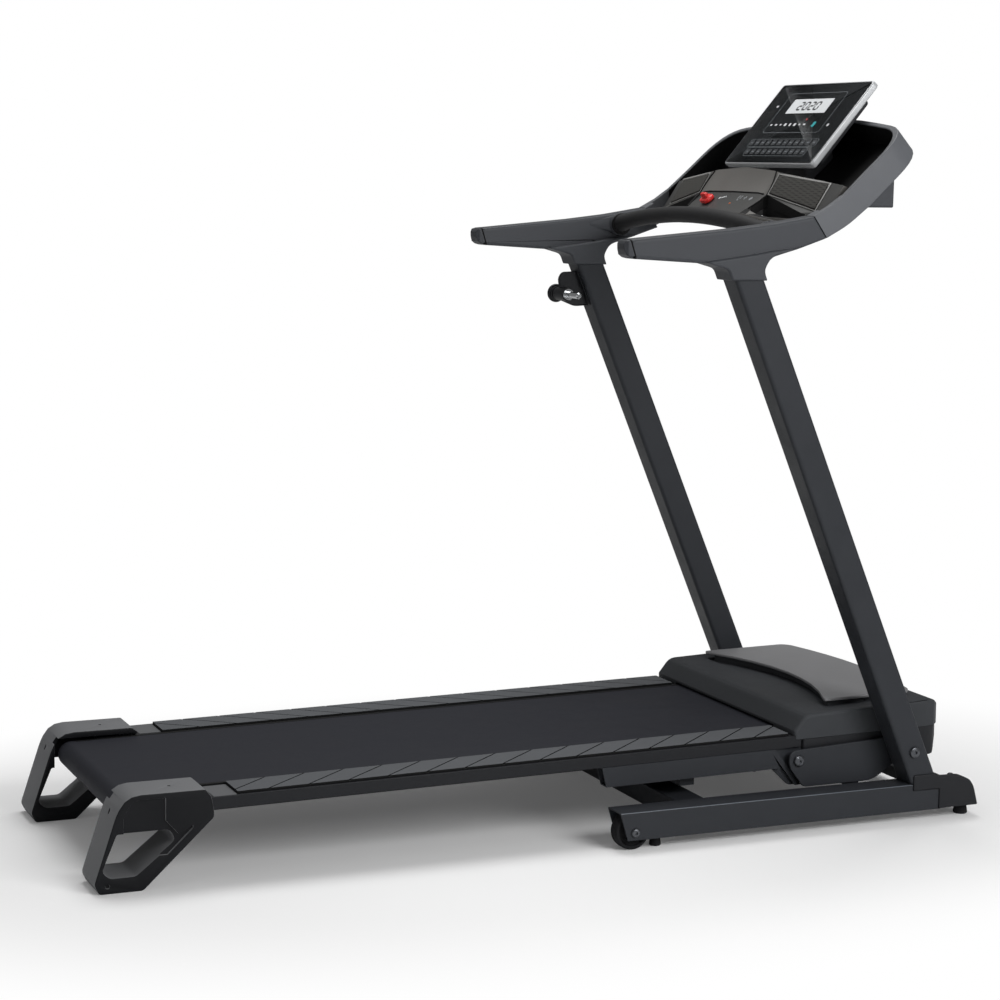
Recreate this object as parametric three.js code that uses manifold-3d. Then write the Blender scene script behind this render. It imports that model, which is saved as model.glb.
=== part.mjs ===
// Folding treadmill with a power incline deck.
// Millimetres. +X points forward to the console, +Y to the runner's left, +Z up.
// The origin lies on the floor, under the middle of the whole machine.

import * as THREE from 'three';
import { mergeVertices } from 'three/addons/utils/BufferGeometryUtils.js';
import Module from 'manifold-3d';

const wasm = await Module();
wasm.setup();

// ---------------------------------------------------------------- driving dimensions

const CLEARANCE = 0.3; // between pieces that seat on each other
const BOLT_FIT = 0.3; // radial clearance of a bolt or stub in its hole
const FAR = 2000; // reach of a cutting block that has to pass everything

// Base frame
const BASE_HALF_WIDTH = 365; // outer face of the base rails and uprights
const RAIL_WIDTH = 55;
const RAIL_WALL = 2.5;
const RAIL_BOTTOM = 20;
const RAIL_HEIGHT = 53;
const RAIL_REAR = 92; // rear end at the top edge
const RAIL_REAR_SLANT = 16; // the rear end is cut back by this much at the bottom
const RAIL_FRONT = 780;
const CAP_FRONT = 863;
const CAP_WALL = 3;
const FRONT_FOOT_X = 843;
const FRONT_FOOT_RADIUS = 14;
const REAR_PAD_X = 177;
const REAR_PAD_RADIUS = 11;
const REAR_CROSSBAR_X = 272;
const REAR_CROSSBAR_WIDTH = 62;
const FRONT_CROSSBAR_X = 834;
const FRONT_CROSSBAR_WIDTH = 38;
const FRONT_CROSSBAR_HEIGHT = 24;

// Transport wheels
const WHEEL_X = 123;
const WHEEL_RADIUS = 35;
const WHEEL_WIDTH = 26;
const WHEEL_OFFSET = 5; // towards the rail's outer wall
const AXLE_RADIUS = 5;

// Uprights
const UPRIGHT_FOOT_X = 773.4; // where the leaning centre line meets the floor
const UPRIGHT_LEAN = THREE.MathUtils.degToRad(23.1);
const UPRIGHT_DEPTH = 55;
const UPRIGHT_TOP = 1078;
const UPRIGHT_CORNER = 8;
const UPRIGHT_WALL = 2.5;

// Lift frame between base and deck
const PIVOT_Z = 137; // height of the fold pivot, on the uprights' centre lines
const PIVOT_BOLT_RADIUS = 6;
const NOSE_X = 499; // pivot between the lift arms and the deck
const NOSE_Z = 123;
const NOSE_RADIUS = 20;
const ARM_INNER_Y = 294;
const ARM_THICKNESS = 6;
const LIFT_TUBE_X = 620;
const LIFT_TUBE_Z = 84;
const LIFT_TUBE_SIZE = 36;
const BOLT_HEAD = 6;

// Deck, in its own frame: it rises forwards and turns about the rear contact line
const DECK_RISE = THREE.MathUtils.degToRad(0.82);
const REAR_CONTACT_X = -820;
const SIDE_RAIL_INNER_Y = 207;
const SIDE_RAIL_OUTER_Y = 288;
const SIDE_RAIL_BOTTOM = 128;
const SIDE_RAIL_TOP = 150;
const SIDE_RAIL_REAR = -733;
const SIDE_RAIL_FRONT = 513;
const SIDE_RAIL_WALL = 3;
const ROLLER_RADIUS = 21.7;
const ROLLER_Z = 127;
const REAR_ROLLER_X = -785;
const DRIVE_ROLLER_X = 560;
const ROLLER_STUB_RADIUS = 6;
const BELT_MARGIN = 4; // from the belt's edge to the side rail
const BELT_THICKNESS = 2;
const BOARD_THICKNESS = 18;
const PAD_REAR = -605;
const PAD_FRONT = 489;
const PAD_PITCH = 74;
const PAD_BASE = 2.4;
const PAD_TILE = 2.8;
const PAD_GROOVE = 5;
const PAD_SLANT = 1.2; // run along the rail per unit of pad width
const FOOT_OUTER_Y = 292;
const FOOT_INNER_Y = 200;
const FOOT_TOP = 169;
const FOOT_WALL = 11;
const CHANNEL_REAR = 92;
const CHANNEL_FRONT = 467;
const CHANNEL_BOTTOM = 90;
const CHANNEL_WIDTH = 26;
const CROSS_MEMBER_REAR = -520;
const CROSS_MEMBER_FRONT = 130;
const CROSS_MEMBER_WIDTH = 60;
const BAY_PLATE_Y = 276;
const BAY_PLATE_THICKNESS = 5;
const BAY_FRONT = 790;

// Motor bay, in the deck's frame
const HOOD_REAR = 497;
const HOOD_FRONT = 829;
const HOOD_BULGE = 8;
const HOOD_OVERHANG = 2; // past the side rails, on each side
const HOOD_WALL = 3;
const HOOD_BOTTOM = 143;
const HOOD_SHOULDER = [522, 190]; // top of the sloping rear face
const HOOD_BROW = [806, 197]; // front end of the top
const PLATE_REAR = 585;
const PLATE_FRONT = 775;
const PLATE_BOW = 50; // how far the front edge swells forwards
const PLATE_SWEEP = 58; // how far the rear edge curves in
const PLATE_HALF_WIDTH = 248;
const PLATE_TOP = 207;
const PLATE_THICKNESS = 6;
const RECESS_FLOOR = 187; // dark well between the hood's rear shelf and the plate
const PAN_REAR = 517;
const PAN_FRONT = 826;
const PAN_BOTTOM = 85;
const PAN_WALL = 2.5;
const INLET_Y = -200; // middle of the mains inlet in the pan's front wall
const INLET_Z = 124;
const INLET_WIDTH = 48;
const INLET_HEIGHT = 26;
const INLET_DEPTH = 22;
const SOCKET_HALF_WIDTH = 12.5;
const SOCKET_HALF_HEIGHT = 8.5;
const SOCKET_DEPTH = 16;
const MOTOR_X = 690;
const MOTOR_Z = 141;
const MOTOR_RADIUS = 41;
const MOTOR_REACH = [-20, 195]; // ends of the motor's body across the machine
const DRIVE_PULLEY_RADIUS = 35;
const MOTOR_PULLEY_RADIUS = 16;
const FLYWHEEL_RADIUS = 40;
const PULLEY_Y = 226;
const PULLEY_WIDTH = 18;
const DRIVE_BELT_THICKNESS = 3;

// Incline actuator
const ACTUATOR_X = 330;
const ACTUATOR_Z = 90;
const ACTUATOR_RADIUS = 20;
const ACTUATOR_ROD_RADIUS = 10;
const ACTUATOR_TUBE_LENGTH = 150;
const ROD_REAR = 94; // hidden end of the rod, from the trunnion
const TRUNNION_RADIUS = 6;

// Handles and console
const HANDLE_INSET = 1; // of the handle's outer face behind the upright's
const HANDLE_WIDTH = 45;
const HANDLE_BEVEL = 5;
const HANDLE_TIP = 75;
const HANDLE_SEAM = 89; // top of the joint between handle and end cap
const HANDLE_SEAM_TOP_Z = 1114;
const HANDLE_SEAM_LEAN = 0.3; // forward run per unit of drop
const HANDLE_HEIGHT = 37;
const HANDLE_END_ROUND = 22; // corners of the end in plan
const COLLAR_BOTTOM = 1040;
const COLLAR_NECK = 1058; // where the collar starts to flare into the handle
const COLLAR_WALL = 4;
const GRIP_BAR_X = 394;
const GRIP_BAR_Z = 1150;
const GRIP_BAR_RADIUS = 16;
const GRIP_BAR_CROWN = 27; // how far its middle stands above its ends
const GRIP_BAR_STEPS = 16;
const GRIP_BAR_SIDES = 12;
const TRAY_TILT = THREE.MathUtils.degToRad(42.2);
const TRAY_LENGTH = 218; // up the slope, from the crest's start to the middle of the front
const TRAY_SHOULDER = 180; // the same, to the front corners
const TRAY_HEIGHT = 53;
const TRAY_WALL = 9;
const TRAY_FLOOR = 4;
const TRAY_TUCK = 10; // how far the rim narrows in from the handles' outer faces
const TRAY_CORNER = 75;
const DECK_PANEL_MARGIN = 16; // from the rim's inner face to the console deck
const POCKET_REAR = 451;
const POCKET_FRONT = 487;
const POCKET_INNER_Y = 128;
const POCKET_OUTER_Y = 288;
const POCKET_FLOOR = 1134;
const POCKET_WALL = 3.5;
const BEAM_REAR = 600;
const BEAM_FRONT = 666;
const BEAM_BOTTOM = 1171.5;
const BEAM_HALF_WIDTH = 300;
const GRILLE_THICKNESS = 3;
const DISPLAY_WIDTH = 350;
const DISPLAY_HEIGHT = 211;
const DISPLAY_THICKNESS = 14; // of the flat front part
const DISPLAY_BACK = 16; // how far the rear cover stands out behind it
const DISPLAY_TILT = THREE.MathUtils.degToRad(49.9);
const DISPLAY_X = 557;
const DISPLAY_Z = 1250;
const FACE_THICKNESS = 2.7;
const BEZEL = 4;
const KEY_Y = 61;

// Fold latch on the left upright
const LATCH_X = 276;
const LATCH_Z = 979;
const LATCH_PIN_RADIUS = 6.5;
const CATCH_FIT = 1.6; // radial room for the pin in the side rail's hole
const LATCH_BARREL_RADIUS = 14;
const LATCH_KNOB_RADIUS = 19;

// ---------------------------------------------------------------- materials

const finish = (color, roughness, metalness = 0) =>
  new THREE.MeshStandardMaterial({ color, roughness, metalness, flatShading: true });
const POWDER_COAT = finish(0x232427, 0.55, 0.3);
const BLACK_PLASTIC = finish(0x2c2d30, 0.6);
const GREY_PLASTIC = finish(0x4b4d51, 0.5);
const DECK_PLASTIC = finish(0x5f5d5b, 0.55);
const GRILLE_CLOTH = finish(0x45443f, 0.9);
const SATIN_PLATE = finish(0x75757a, 0.4);
const RUBBER = finish(0x1b1b1c, 0.9);
const FOOT_PAD = finish(0x55585a, 0.85);
const BELT_RUBBER = finish(0x303138, 0.85);
const BOARD_WOOD = finish(0x6d5a44, 0.8);
const STEEL = finish(0xb8babd, 0.35, 1);
const CHROME = finish(0xd8dadd, 0.15, 1);
const MOTOR_ENAMEL = finish(0x2b2b2d, 0.45, 0.4);
const DISPLAY_FILM = finish(0x25282b, 0.3);
const BEZEL_SILVER = finish(0x8d8f92, 0.35, 0.5);
const KEY_RED = finish(0xe0302f, 0.45);

// ---------------------------------------------------------------- shape helpers

// A closed outline through [a, b] corners; a third number rounds that corner.
function outline(corners) {
  const shape = new THREE.Shape();
  corners.forEach(([a, b, round = 0], i) => {
    const corner = new THREE.Vector2(a, b);
    const before = new THREE.Vector2(...corners.at(i - 1).slice(0, 2)).sub(corner);
    const after = new THREE.Vector2(...corners[(i + 1) % corners.length].slice(0, 2)).sub(corner);
    const start = before.setLength(round).add(corner);
    const end = after.setLength(round).add(corner);
    if (i === 0) shape.moveTo(start.x, start.y);
    else shape.lineTo(start.x, start.y);
    if (round > 0) shape.quadraticCurveTo(corner.x, corner.y, end.x, end.y);
  });
  return shape;
}

const rectangle = (a0, a1, b0, b1, round = 0) =>
  outline([[a0, b0, round], [a1, b0, round], [a1, b1, round], [a0, b1, round]]);

// Raises an outline by depth along +Z, with both rims bevelled where asked.
function raise(shape, depth, bevel = 0, curveSegments = 3) {
  return new THREE.ExtrudeGeometry(shape, {
    depth: depth - 2 * bevel,
    bevelEnabled: bevel > 0,
    bevelThickness: bevel,
    bevelSize: bevel,
    bevelOffset: -bevel,
    bevelSegments: bevel > 4 ? 2 : 1,
    curveSegments,
  }).translate(0, 0, bevel);
}

// Outline drawn in (x, z), running from y0 to y1.
function acrossY(shape, y0, y1, bevel = 0, curveSegments = 3) {
  const [low, high] = [Math.min(y0, y1), Math.max(y0, y1)];
  return raise(shape, high - low, bevel, curveSegments).rotateX(Math.PI / 2).translate(0, high, 0);
}

// Outline drawn in (y, z), running from x0 to x1.
function alongX(shape, x0, x1, bevel = 0) {
  const turn = new THREE.Matrix4().makeBasis(
    new THREE.Vector3(0, 1, 0), new THREE.Vector3(0, 0, 1), new THREE.Vector3(1, 0, 0));
  return raise(shape, x1 - x0, bevel).applyMatrix4(turn).translate(x0, 0, 0);
}

// Outline drawn in (x, y), running from z0 to z1.
const upZ = (shape, z0, z1, bevel = 0, curveSegments = 3) =>
  raise(shape, z1 - z0, bevel, curveSegments).translate(0, 0, z0);

const block = (x0, x1, y0, y1, z0, z1) => new THREE.BoxGeometry(
  Math.abs(x1 - x0), Math.abs(y1 - y0), Math.abs(z1 - z0))
  .translate((x0 + x1) / 2, (y0 + y1) / 2, (z0 + z1) / 2);

// A round bar across the machine, centred on (x, z).
const barY = (radius, x, z, y0, y1, sides = 12) => new THREE.CylinderGeometry(
  radius, radius, Math.abs(y1 - y0), sides).translate(x, (y0 + y1) / 2, z);

// A body turned about the Y axis through (x, z), from [radius, y] stations.
function turnedY(stations, x, z, sides = 20) {
  const points = stations.map(([radius, y]) => new THREE.Vector2(radius, y));
  return new THREE.LatheGeometry(points, sides).translate(x, 0, z);
}

function turnedZ(stations, x, y, sides = 16) {
  const points = stations.map(([radius, z]) => new THREE.Vector2(radius, z));
  return new THREE.LatheGeometry(points, sides).rotateX(Math.PI / 2).translate(x, y, 0);
}

// Closed rings of equal length, joined one to the next and capped at both ends.
function loft(sections) {
  const clockwise = THREE.ShapeUtils.isClockWise(sections[0].map(([x, , z]) => new THREE.Vector2(x, z)));
  const rings = sections.map((ring) => (clockwise ? [...ring].reverse() : ring));
  const size = rings[0].length;
  const positions = rings.flat(2);
  const index = [];
  for (let r = 0; r < rings.length - 1; r += 1) {
    for (let i = 0; i < size; i += 1) {
      const [a, b] = [r * size + i, r * size + ((i + 1) % size)];
      index.push(a, b, b + size, a, b + size, a + size);
    }
  }
  const flat = rings[0].map(([x, , z]) => new THREE.Vector2(x, z));
  for (const [a, b, c] of THREE.ShapeUtils.triangulateShape(flat, [])) {
    const last = (rings.length - 1) * size;
    index.push(a, c, b, last + a, last + b, last + c);
  }
  const geometry = new THREE.BufferGeometry();
  geometry.setAttribute('position', new THREE.Float32BufferAttribute(positions, 3));
  geometry.setIndex(index);
  return solid(geometry).volume() > 0 ? geometry : flipped(geometry);
}

function flipped(geometry) {
  const copy = geometry.clone();
  const old = copy.index ? [...copy.index.array] : [...Array(copy.attributes.position.count).keys()];
  const index = [];
  for (let i = 0; i < old.length; i += 3) index.push(old[i], old[i + 2], old[i + 1]);
  copy.setIndex(index);
  return copy;
}

// Turns a closed three.js geometry into a solid that can be joined and cut.
function solid(geometry) {
  const bare = geometry.clone();
  bare.deleteAttribute('normal');
  bare.deleteAttribute('uv');
  const merged = mergeVertices(bare, 1e-4);
  const kept = [];
  const index = merged.index.array;
  for (let i = 0; i < index.length; i += 3) {
    const [a, b, c] = [index[i], index[i + 1], index[i + 2]];
    if (a !== b && b !== c && c !== a) kept.push(a, b, c);
  }
  return new wasm.Manifold(new wasm.Mesh({
    numProp: 3,
    vertProperties: Float32Array.from(merged.attributes.position.array),
    triVerts: Uint32Array.from(kept),
  }));
}

// First geometry, joined with `add` and cut by `cut`.
function built({ from, add = [], keep = [], cut = [] }) {
  let result = solid(from);
  for (const piece of add) result = result.add(solid(piece));
  for (const piece of keep) result = result.intersect(solid(piece));
  for (const piece of cut) result = result.subtract(solid(piece));
  const mesh = result.getMesh();
  const geometry = new THREE.BufferGeometry();
  geometry.setAttribute('position', new THREE.BufferAttribute(mesh.vertProperties, 3));
  geometry.setIndex(new THREE.BufferAttribute(mesh.triVerts, 1));
  return geometry;
}

function addPart(group, name, geometry, material) {
  const mesh = new THREE.Mesh(geometry, material);
  mesh.name = name;
  group.add(mesh);
}

// ---------------------------------------------------------------- groups

const treadmill = new THREE.Group();
const deckTilt = new THREE.Group();
deckTilt.position.x = REAR_CONTACT_X;
deckTilt.rotation.y = -DECK_RISE;
const deck = new THREE.Group();
deck.position.x = -REAR_CONTACT_X;
deckTilt.add(deck);
treadmill.add(deckTilt);

// From the machine's frame to the deck's own frame, in side view, and back.
function toDeck(x, z) {
  const [run, sin, cos] = [x - REAR_CONTACT_X, Math.sin(DECK_RISE), Math.cos(DECK_RISE)];
  return [REAR_CONTACT_X + run * cos + z * sin, z * cos - run * sin];
}
function toMachine(x, z) {
  const [run, sin, cos] = [x - REAR_CONTACT_X, Math.sin(DECK_RISE), Math.cos(DECK_RISE)];
  return [REAR_CONTACT_X + run * cos - z * sin, z * cos + run * sin];
}

const SIDES = [['right', -1], ['left', 1]];
const HOOD_HALF_WIDTH = SIDE_RAIL_OUTER_Y + HOOD_OVERHANG;
const BELT_HALF_WIDTH = SIDE_RAIL_INNER_Y - BELT_MARGIN;
const HANDLE_OUTER_Y = BASE_HALF_WIDTH - HANDLE_INSET;
const TRAY_HALF_WIDTH = HANDLE_OUTER_Y - TRAY_TUCK;
const DECK_PANEL_HALF_WIDTH = TRAY_HALF_WIDTH - TRAY_WALL - DECK_PANEL_MARGIN + 0.5;
const RAIL_TOP = RAIL_BOTTOM + RAIL_HEIGHT;
const RAIL_INNER_Y = BASE_HALF_WIDTH - RAIL_WIDTH;
const RAIL_MIDDLE_Y = BASE_HALF_WIDTH - RAIL_WIDTH / 2;
const uprightX = (z) => UPRIGHT_FOOT_X - z * Math.tan(UPRIGHT_LEAN);
const UPRIGHT_HALF_RUN = UPRIGHT_DEPTH / 2 / Math.cos(UPRIGHT_LEAN);
const PIVOT_X = uprightX(PIVOT_Z);

// ---------------------------------------------------------------- base frame

for (const [side, s] of SIDES) {
  const railSide = outline([
    [RAIL_REAR, RAIL_TOP], [RAIL_FRONT, RAIL_TOP],
    [RAIL_FRONT, RAIL_BOTTOM], [RAIL_REAR + RAIL_REAR_SLANT, RAIL_BOTTOM]]);
  const hollow = block(
    RAIL_REAR - 50, RAIL_FRONT + 50, s * (RAIL_INNER_Y + RAIL_WALL),
    s * (BASE_HALF_WIDTH - RAIL_WALL), RAIL_BOTTOM + RAIL_WALL, RAIL_TOP - RAIL_WALL);
  const wheelSlot = block(
    RAIL_REAR - 50, WHEEL_X + WHEEL_RADIUS + 6, s * (RAIL_INNER_Y + RAIL_WALL),
    s * (BASE_HALF_WIDTH - RAIL_WALL), 0, RAIL_BOTTOM + 2 * RAIL_WALL);
  const axleHole = barY(AXLE_RADIUS + BOLT_FIT, WHEEL_X, WHEEL_RADIUS,
    s * (RAIL_INNER_Y - 10), s * (BASE_HALF_WIDTH + 10));
  addPart(treadmill, `base_rail_${side}`, built({
    from: acrossY(railSide, s * RAIL_INNER_Y, s * BASE_HALF_WIDTH),
    cut: [hollow, wheelSlot, axleHole],
  }), POWDER_COAT);

  // Rubber-tyred wheel in the open rear end of the rail, on a button-head bolt.
  const half = WHEEL_WIDTH / 2;
  const middle = s * (RAIL_MIDDLE_Y + WHEEL_OFFSET);
  const bore = AXLE_RADIUS + BOLT_FIT;
  addPart(treadmill, `transport_wheel_${side}`, turnedY([
    [bore, middle - half], [WHEEL_RADIUS * 0.42, middle - half],
    [WHEEL_RADIUS * 0.48, middle - half + 5], [WHEEL_RADIUS * 0.76, middle - half + 5],
    [WHEEL_RADIUS * 0.82, middle - half], [WHEEL_RADIUS * 0.93, middle - half],
    [WHEEL_RADIUS, middle - half + 5], [WHEEL_RADIUS, middle + half - 5],
    [WHEEL_RADIUS * 0.93, middle + half], [WHEEL_RADIUS * 0.82, middle + half],
    [WHEEL_RADIUS * 0.76, middle + half - 5], [WHEEL_RADIUS * 0.48, middle + half - 5],
    [WHEEL_RADIUS * 0.42, middle + half], [bore, middle + half], [bore, middle - half],
  ], WHEEL_X, WHEEL_RADIUS, 20), RUBBER);
  addPart(treadmill, `wheel_axle_${side}`, built({
    from: barY(AXLE_RADIUS, WHEEL_X, WHEEL_RADIUS,
      s * (RAIL_INNER_Y - 4), s * (BASE_HALF_WIDTH + 1)),
    add: [barY(8, WHEEL_X, WHEEL_RADIUS,
      s * (BASE_HALF_WIDTH + CLEARANCE), s * (BASE_HALF_WIDTH + BOLT_HEAD - 1))],
  }), STEEL);

  // Moulded end cap: closes the rail and wraps the upright's foot.
  const footRear = uprightX(RAIL_TOP) - UPRIGHT_HALF_RUN;
  const footFront = uprightX(RAIL_TOP) + UPRIGHT_HALF_RUN;
  const capSide = outline([
    [footRear + 3, RAIL_TOP - 12], [footRear + 3, RAIL_TOP + 19, 5],
    [footFront - 5, RAIL_TOP + 19, 5], [footFront - 1, RAIL_TOP + 12],
    [CAP_FRONT - 40, RAIL_TOP + 10, 8], [CAP_FRONT - 19, RAIL_TOP, 6],
    [CAP_FRONT - 10, RAIL_TOP - 14, 6], [CAP_FRONT, RAIL_BOTTOM + 2],
    [footFront + 2, RAIL_BOTTOM + 2], [footFront + 2, RAIL_TOP - 12]]);
  addPart(treadmill, `base_end_cap_${side}`, built({
    from: acrossY(capSide, s * (RAIL_INNER_Y - CAP_WALL), s * (BASE_HALF_WIDTH + CAP_WALL), 1.5),
    cut: [
      block(RAIL_REAR, RAIL_FRONT + CLEARANCE, s * (RAIL_INNER_Y - CLEARANCE),
        s * (BASE_HALF_WIDTH + CLEARANCE), 0, RAIL_TOP + CLEARANCE),
      uprightVolume(s, CLEARANCE, 0),
      alongX(outline([
        [s * (RAIL_INNER_Y - 10), RAIL_TOP - 22], [s * (RAIL_INNER_Y - 10), RAIL_TOP + 40],
        [s * (BASE_HALF_WIDTH - 12), RAIL_TOP + 12]]), RAIL_FRONT + 4, CAP_FRONT + 10),
    ],
  }), BLACK_PLASTIC);

  // Rubber feet: one under the front cap, one behind the wheel's slot.
  addPart(treadmill, `front_foot_${side}`, turnedZ([
    [0, 0], [FRONT_FOOT_RADIUS - 1, 0], [FRONT_FOOT_RADIUS, 3],
    [FRONT_FOOT_RADIUS - 3, RAIL_BOTTOM + 2 - CLEARANCE], [0, RAIL_BOTTOM + 2 - CLEARANCE],
  ], FRONT_FOOT_X, s * RAIL_MIDDLE_Y), RUBBER);
  addPart(treadmill, `rear_pad_${side}`, turnedZ([
    [0, 0], [REAR_PAD_RADIUS - 1, 0], [REAR_PAD_RADIUS, 2],
    [REAR_PAD_RADIUS - 2, RAIL_BOTTOM - CLEARANCE], [0, RAIL_BOTTOM - CLEARANCE],
  ], REAR_PAD_X, s * RAIL_MIDDLE_Y), RUBBER);
}

// Cross tubes that tie the two base rails together.
const crossbarHalf = RAIL_INNER_Y - CLEARANCE;
addPart(treadmill, 'base_rear_crossbar', built({
  from: alongY(rectangle(
    REAR_CROSSBAR_X - REAR_CROSSBAR_WIDTH / 2, REAR_CROSSBAR_X + REAR_CROSSBAR_WIDTH / 2,
    RAIL_BOTTOM + 5, RAIL_TOP - 6, 4), crossbarHalf),
  cut: [block(
    REAR_CROSSBAR_X - REAR_CROSSBAR_WIDTH / 2 + RAIL_WALL,
    REAR_CROSSBAR_X + REAR_CROSSBAR_WIDTH / 2 - RAIL_WALL, -FAR, FAR,
    RAIL_BOTTOM + 5 + RAIL_WALL, RAIL_TOP - 6 - RAIL_WALL)],
}), POWDER_COAT);
addPart(treadmill, 'base_front_crossbar', built({
  from: alongY(rectangle(
    FRONT_CROSSBAR_X - FRONT_CROSSBAR_WIDTH / 2, FRONT_CROSSBAR_X + FRONT_CROSSBAR_WIDTH / 2,
    RAIL_BOTTOM + 3, RAIL_BOTTOM + 3 + FRONT_CROSSBAR_HEIGHT, 4),
  RAIL_INNER_Y - CAP_WALL - CLEARANCE),
  cut: [block(
    FRONT_CROSSBAR_X - FRONT_CROSSBAR_WIDTH / 2 + RAIL_WALL,
    FRONT_CROSSBAR_X + FRONT_CROSSBAR_WIDTH / 2 - RAIL_WALL, -FAR, FAR,
    RAIL_BOTTOM + 3 + RAIL_WALL, RAIL_BOTTOM + 3 + FRONT_CROSSBAR_HEIGHT - RAIL_WALL)],
}), POWDER_COAT);

// An outline in (x, z), centred on the machine's middle plane.
function alongY(shape, half, bevel = 0) {
  return acrossY(shape, -half, half, bevel);
}

// ---------------------------------------------------------------- uprights

// The leaning square tube as a plain bar, grown by `grow` on each face.
function uprightVolume(s, grow, inset) {
  const half = UPRIGHT_DEPTH / 2 + grow - inset;
  const width = RAIL_WIDTH / 2 + grow - inset;
  const section = rectangle(-half, half, -width, width, Math.max(UPRIGHT_CORNER - inset, 1));
  const length = UPRIGHT_TOP / Math.cos(UPRIGHT_LEAN) + 2 * inset + grow;
  return upZ(section, -60 * (inset ? 2 : 1), length)
    .rotateY(-UPRIGHT_LEAN).translate(UPRIGHT_FOOT_X, s * RAIL_MIDDLE_Y, 0);
}

for (const [side, s] of SIDES) {
  const pivotHole = barY(PIVOT_BOLT_RADIUS + BOLT_FIT, PIVOT_X, PIVOT_Z,
    s * (RAIL_INNER_Y - 10), s * (BASE_HALF_WIDTH + 10));
  addPart(treadmill, `upright_${side}`, built({
    from: uprightVolume(s, 0, 0),
    keep: [block(-FAR, FAR, -FAR, FAR, RAIL_TOP + CLEARANCE, FAR)],
    cut: [uprightVolume(s, 0, UPRIGHT_WALL), pivotHole],
  }), POWDER_COAT);
}

// ---------------------------------------------------------------- handles

const handleInner = HANDLE_OUTER_Y - HANDLE_WIDTH;
const SEAM_TOP = [459, 1156]; // where handle and console tray meet
const SEAM_BOTTOM = [487, 1116];
const handleSide = outline([
  [HANDLE_TIP, 1112, 15], [291, 1132], [375, 1142, 20], SEAM_TOP, SEAM_BOTTOM,
  [431, 1097, 15], [373, 1081], [250, 1070, 20], [HANDLE_TIP + 8, 1080, 15]]);
const handleEnd = (s) => upZ(outline([
  [HANDLE_TIP, s * handleInner, HANDLE_END_ROUND], [FAR, s * handleInner],
  [FAR, s * HANDLE_OUTER_Y], [HANDLE_TIP, s * HANDLE_OUTER_Y, HANDLE_END_ROUND]]), 0, FAR);
const handleBar = (s) => built({
  from: acrossY(handleSide, s * handleInner, s * HANDLE_OUTER_Y, HANDLE_BEVEL),
  keep: [handleEnd(s)],
});
// All that lies on one side of the slanted joint: `to` is FAR ahead of it, or 0 behind.
const seamLow = HANDLE_SEAM_TOP_Z - 4 * HANDLE_HEIGHT;
const seamHigh = HANDLE_SEAM_TOP_Z + 2 * HANDLE_HEIGHT;
const seamX = (z) => HANDLE_SEAM + (HANDLE_SEAM_TOP_Z - z) * HANDLE_SEAM_LEAN;
const besideSeam = (to, gap) => acrossY(outline([
  [seamX(seamHigh) - gap, seamHigh], [seamX(seamLow) - gap, seamLow],
  [to, seamLow], [to, seamHigh]]), -FAR, FAR);

for (const [side, s] of SIDES) {
  const collarSide = outline([
    [236, 1073], [283, 1060, 8], [295 - COLLAR_WALL, COLLAR_BOTTOM],
    [uprightX(COLLAR_BOTTOM) + UPRIGHT_HALF_RUN + COLLAR_WALL, COLLAR_BOTTOM],
    [uprightX(COLLAR_NECK) + UPRIGHT_HALF_RUN + COLLAR_WALL + 1, COLLAR_NECK, 8], [369, 1081, 12],
    [428, 1099], [375, 1094, 10], [340, 1088], [250, 1076]]);
  addPart(treadmill, `handle_${side}`, built({
    from: handleBar(s),
    keep: [besideSeam(FAR, 0)],
    add: [acrossY(collarSide, s * (RAIL_INNER_Y - COLLAR_WALL - 1),
      s * (BASE_HALF_WIDTH + COLLAR_WALL), 3)],
    cut: [uprightVolume(s, CLEARANCE, 0)],
  }), GREY_PLASTIC);
  addPart(treadmill, `handle_end_cap_${side}`, built({
    from: handleBar(s),
    keep: [besideSeam(0, CLEARANCE)],
  }), GREY_PLASTIC);
}

// Crowned grip bar between the handles, with thicker cuffs at its ends.
const gripHalf = handleInner - CLEARANCE;
const gripZ = (y) => GRIP_BAR_Z - GRIP_BAR_CROWN * (y / gripHalf) ** 2;
const gripRings = [];
for (let i = 0; i <= GRIP_BAR_STEPS; i += 1) {
  const y = -gripHalf + (i / GRIP_BAR_STEPS) * 2 * gripHalf;
  const cuff = Math.max(0, Math.abs(y) - gripHalf + 50) / 50;
  const radius = GRIP_BAR_RADIUS + 4 * cuff ** 2;
  gripRings.push(Array.from({ length: GRIP_BAR_SIDES }, (_, k) => {
    const angle = (k / GRIP_BAR_SIDES) * 2 * Math.PI;
    return [GRIP_BAR_X + radius * Math.cos(angle), y, gripZ(y) + radius * Math.sin(angle)];
  }));
}
addPart(treadmill, 'grip_bar', loft(gripRings), RUBBER);

// ---------------------------------------------------------------- console tray

// The tray is a deep rim that stands square to a plane tilted by TRAY_TILT. `u` runs up
// the slope from the crest point below, `w` square to it.
const CREST = [525, 1197];
const traySlope = [Math.cos(TRAY_TILT), Math.sin(TRAY_TILT)];
const trayPoint = (u, w) => [
  CREST[0] + u * traySlope[0] - w * traySlope[1], CREST[1] + u * traySlope[1] + w * traySlope[0]];

function trayPlan(inset, low, high) {
  const half = TRAY_HALF_WIDTH - inset;
  const flare = HANDLE_OUTER_Y - TRAY_HALF_WIDTH;
  const [front, shoulder] = [TRAY_LENGTH - inset + 12, TRAY_SHOULDER - inset];
  const plan = outline([
    [-140, -half - flare], [60, -half], [shoulder, -half, TRAY_CORNER], [front, 0, 220],
    [shoulder, half, TRAY_CORNER], [60, half], [-140, half + flare]]);
  return raise(plan, high - low, 0, 7).translate(0, 0, low)
    .rotateY(-TRAY_TILT).translate(CREST[0], 0, CREST[1]);
}

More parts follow.
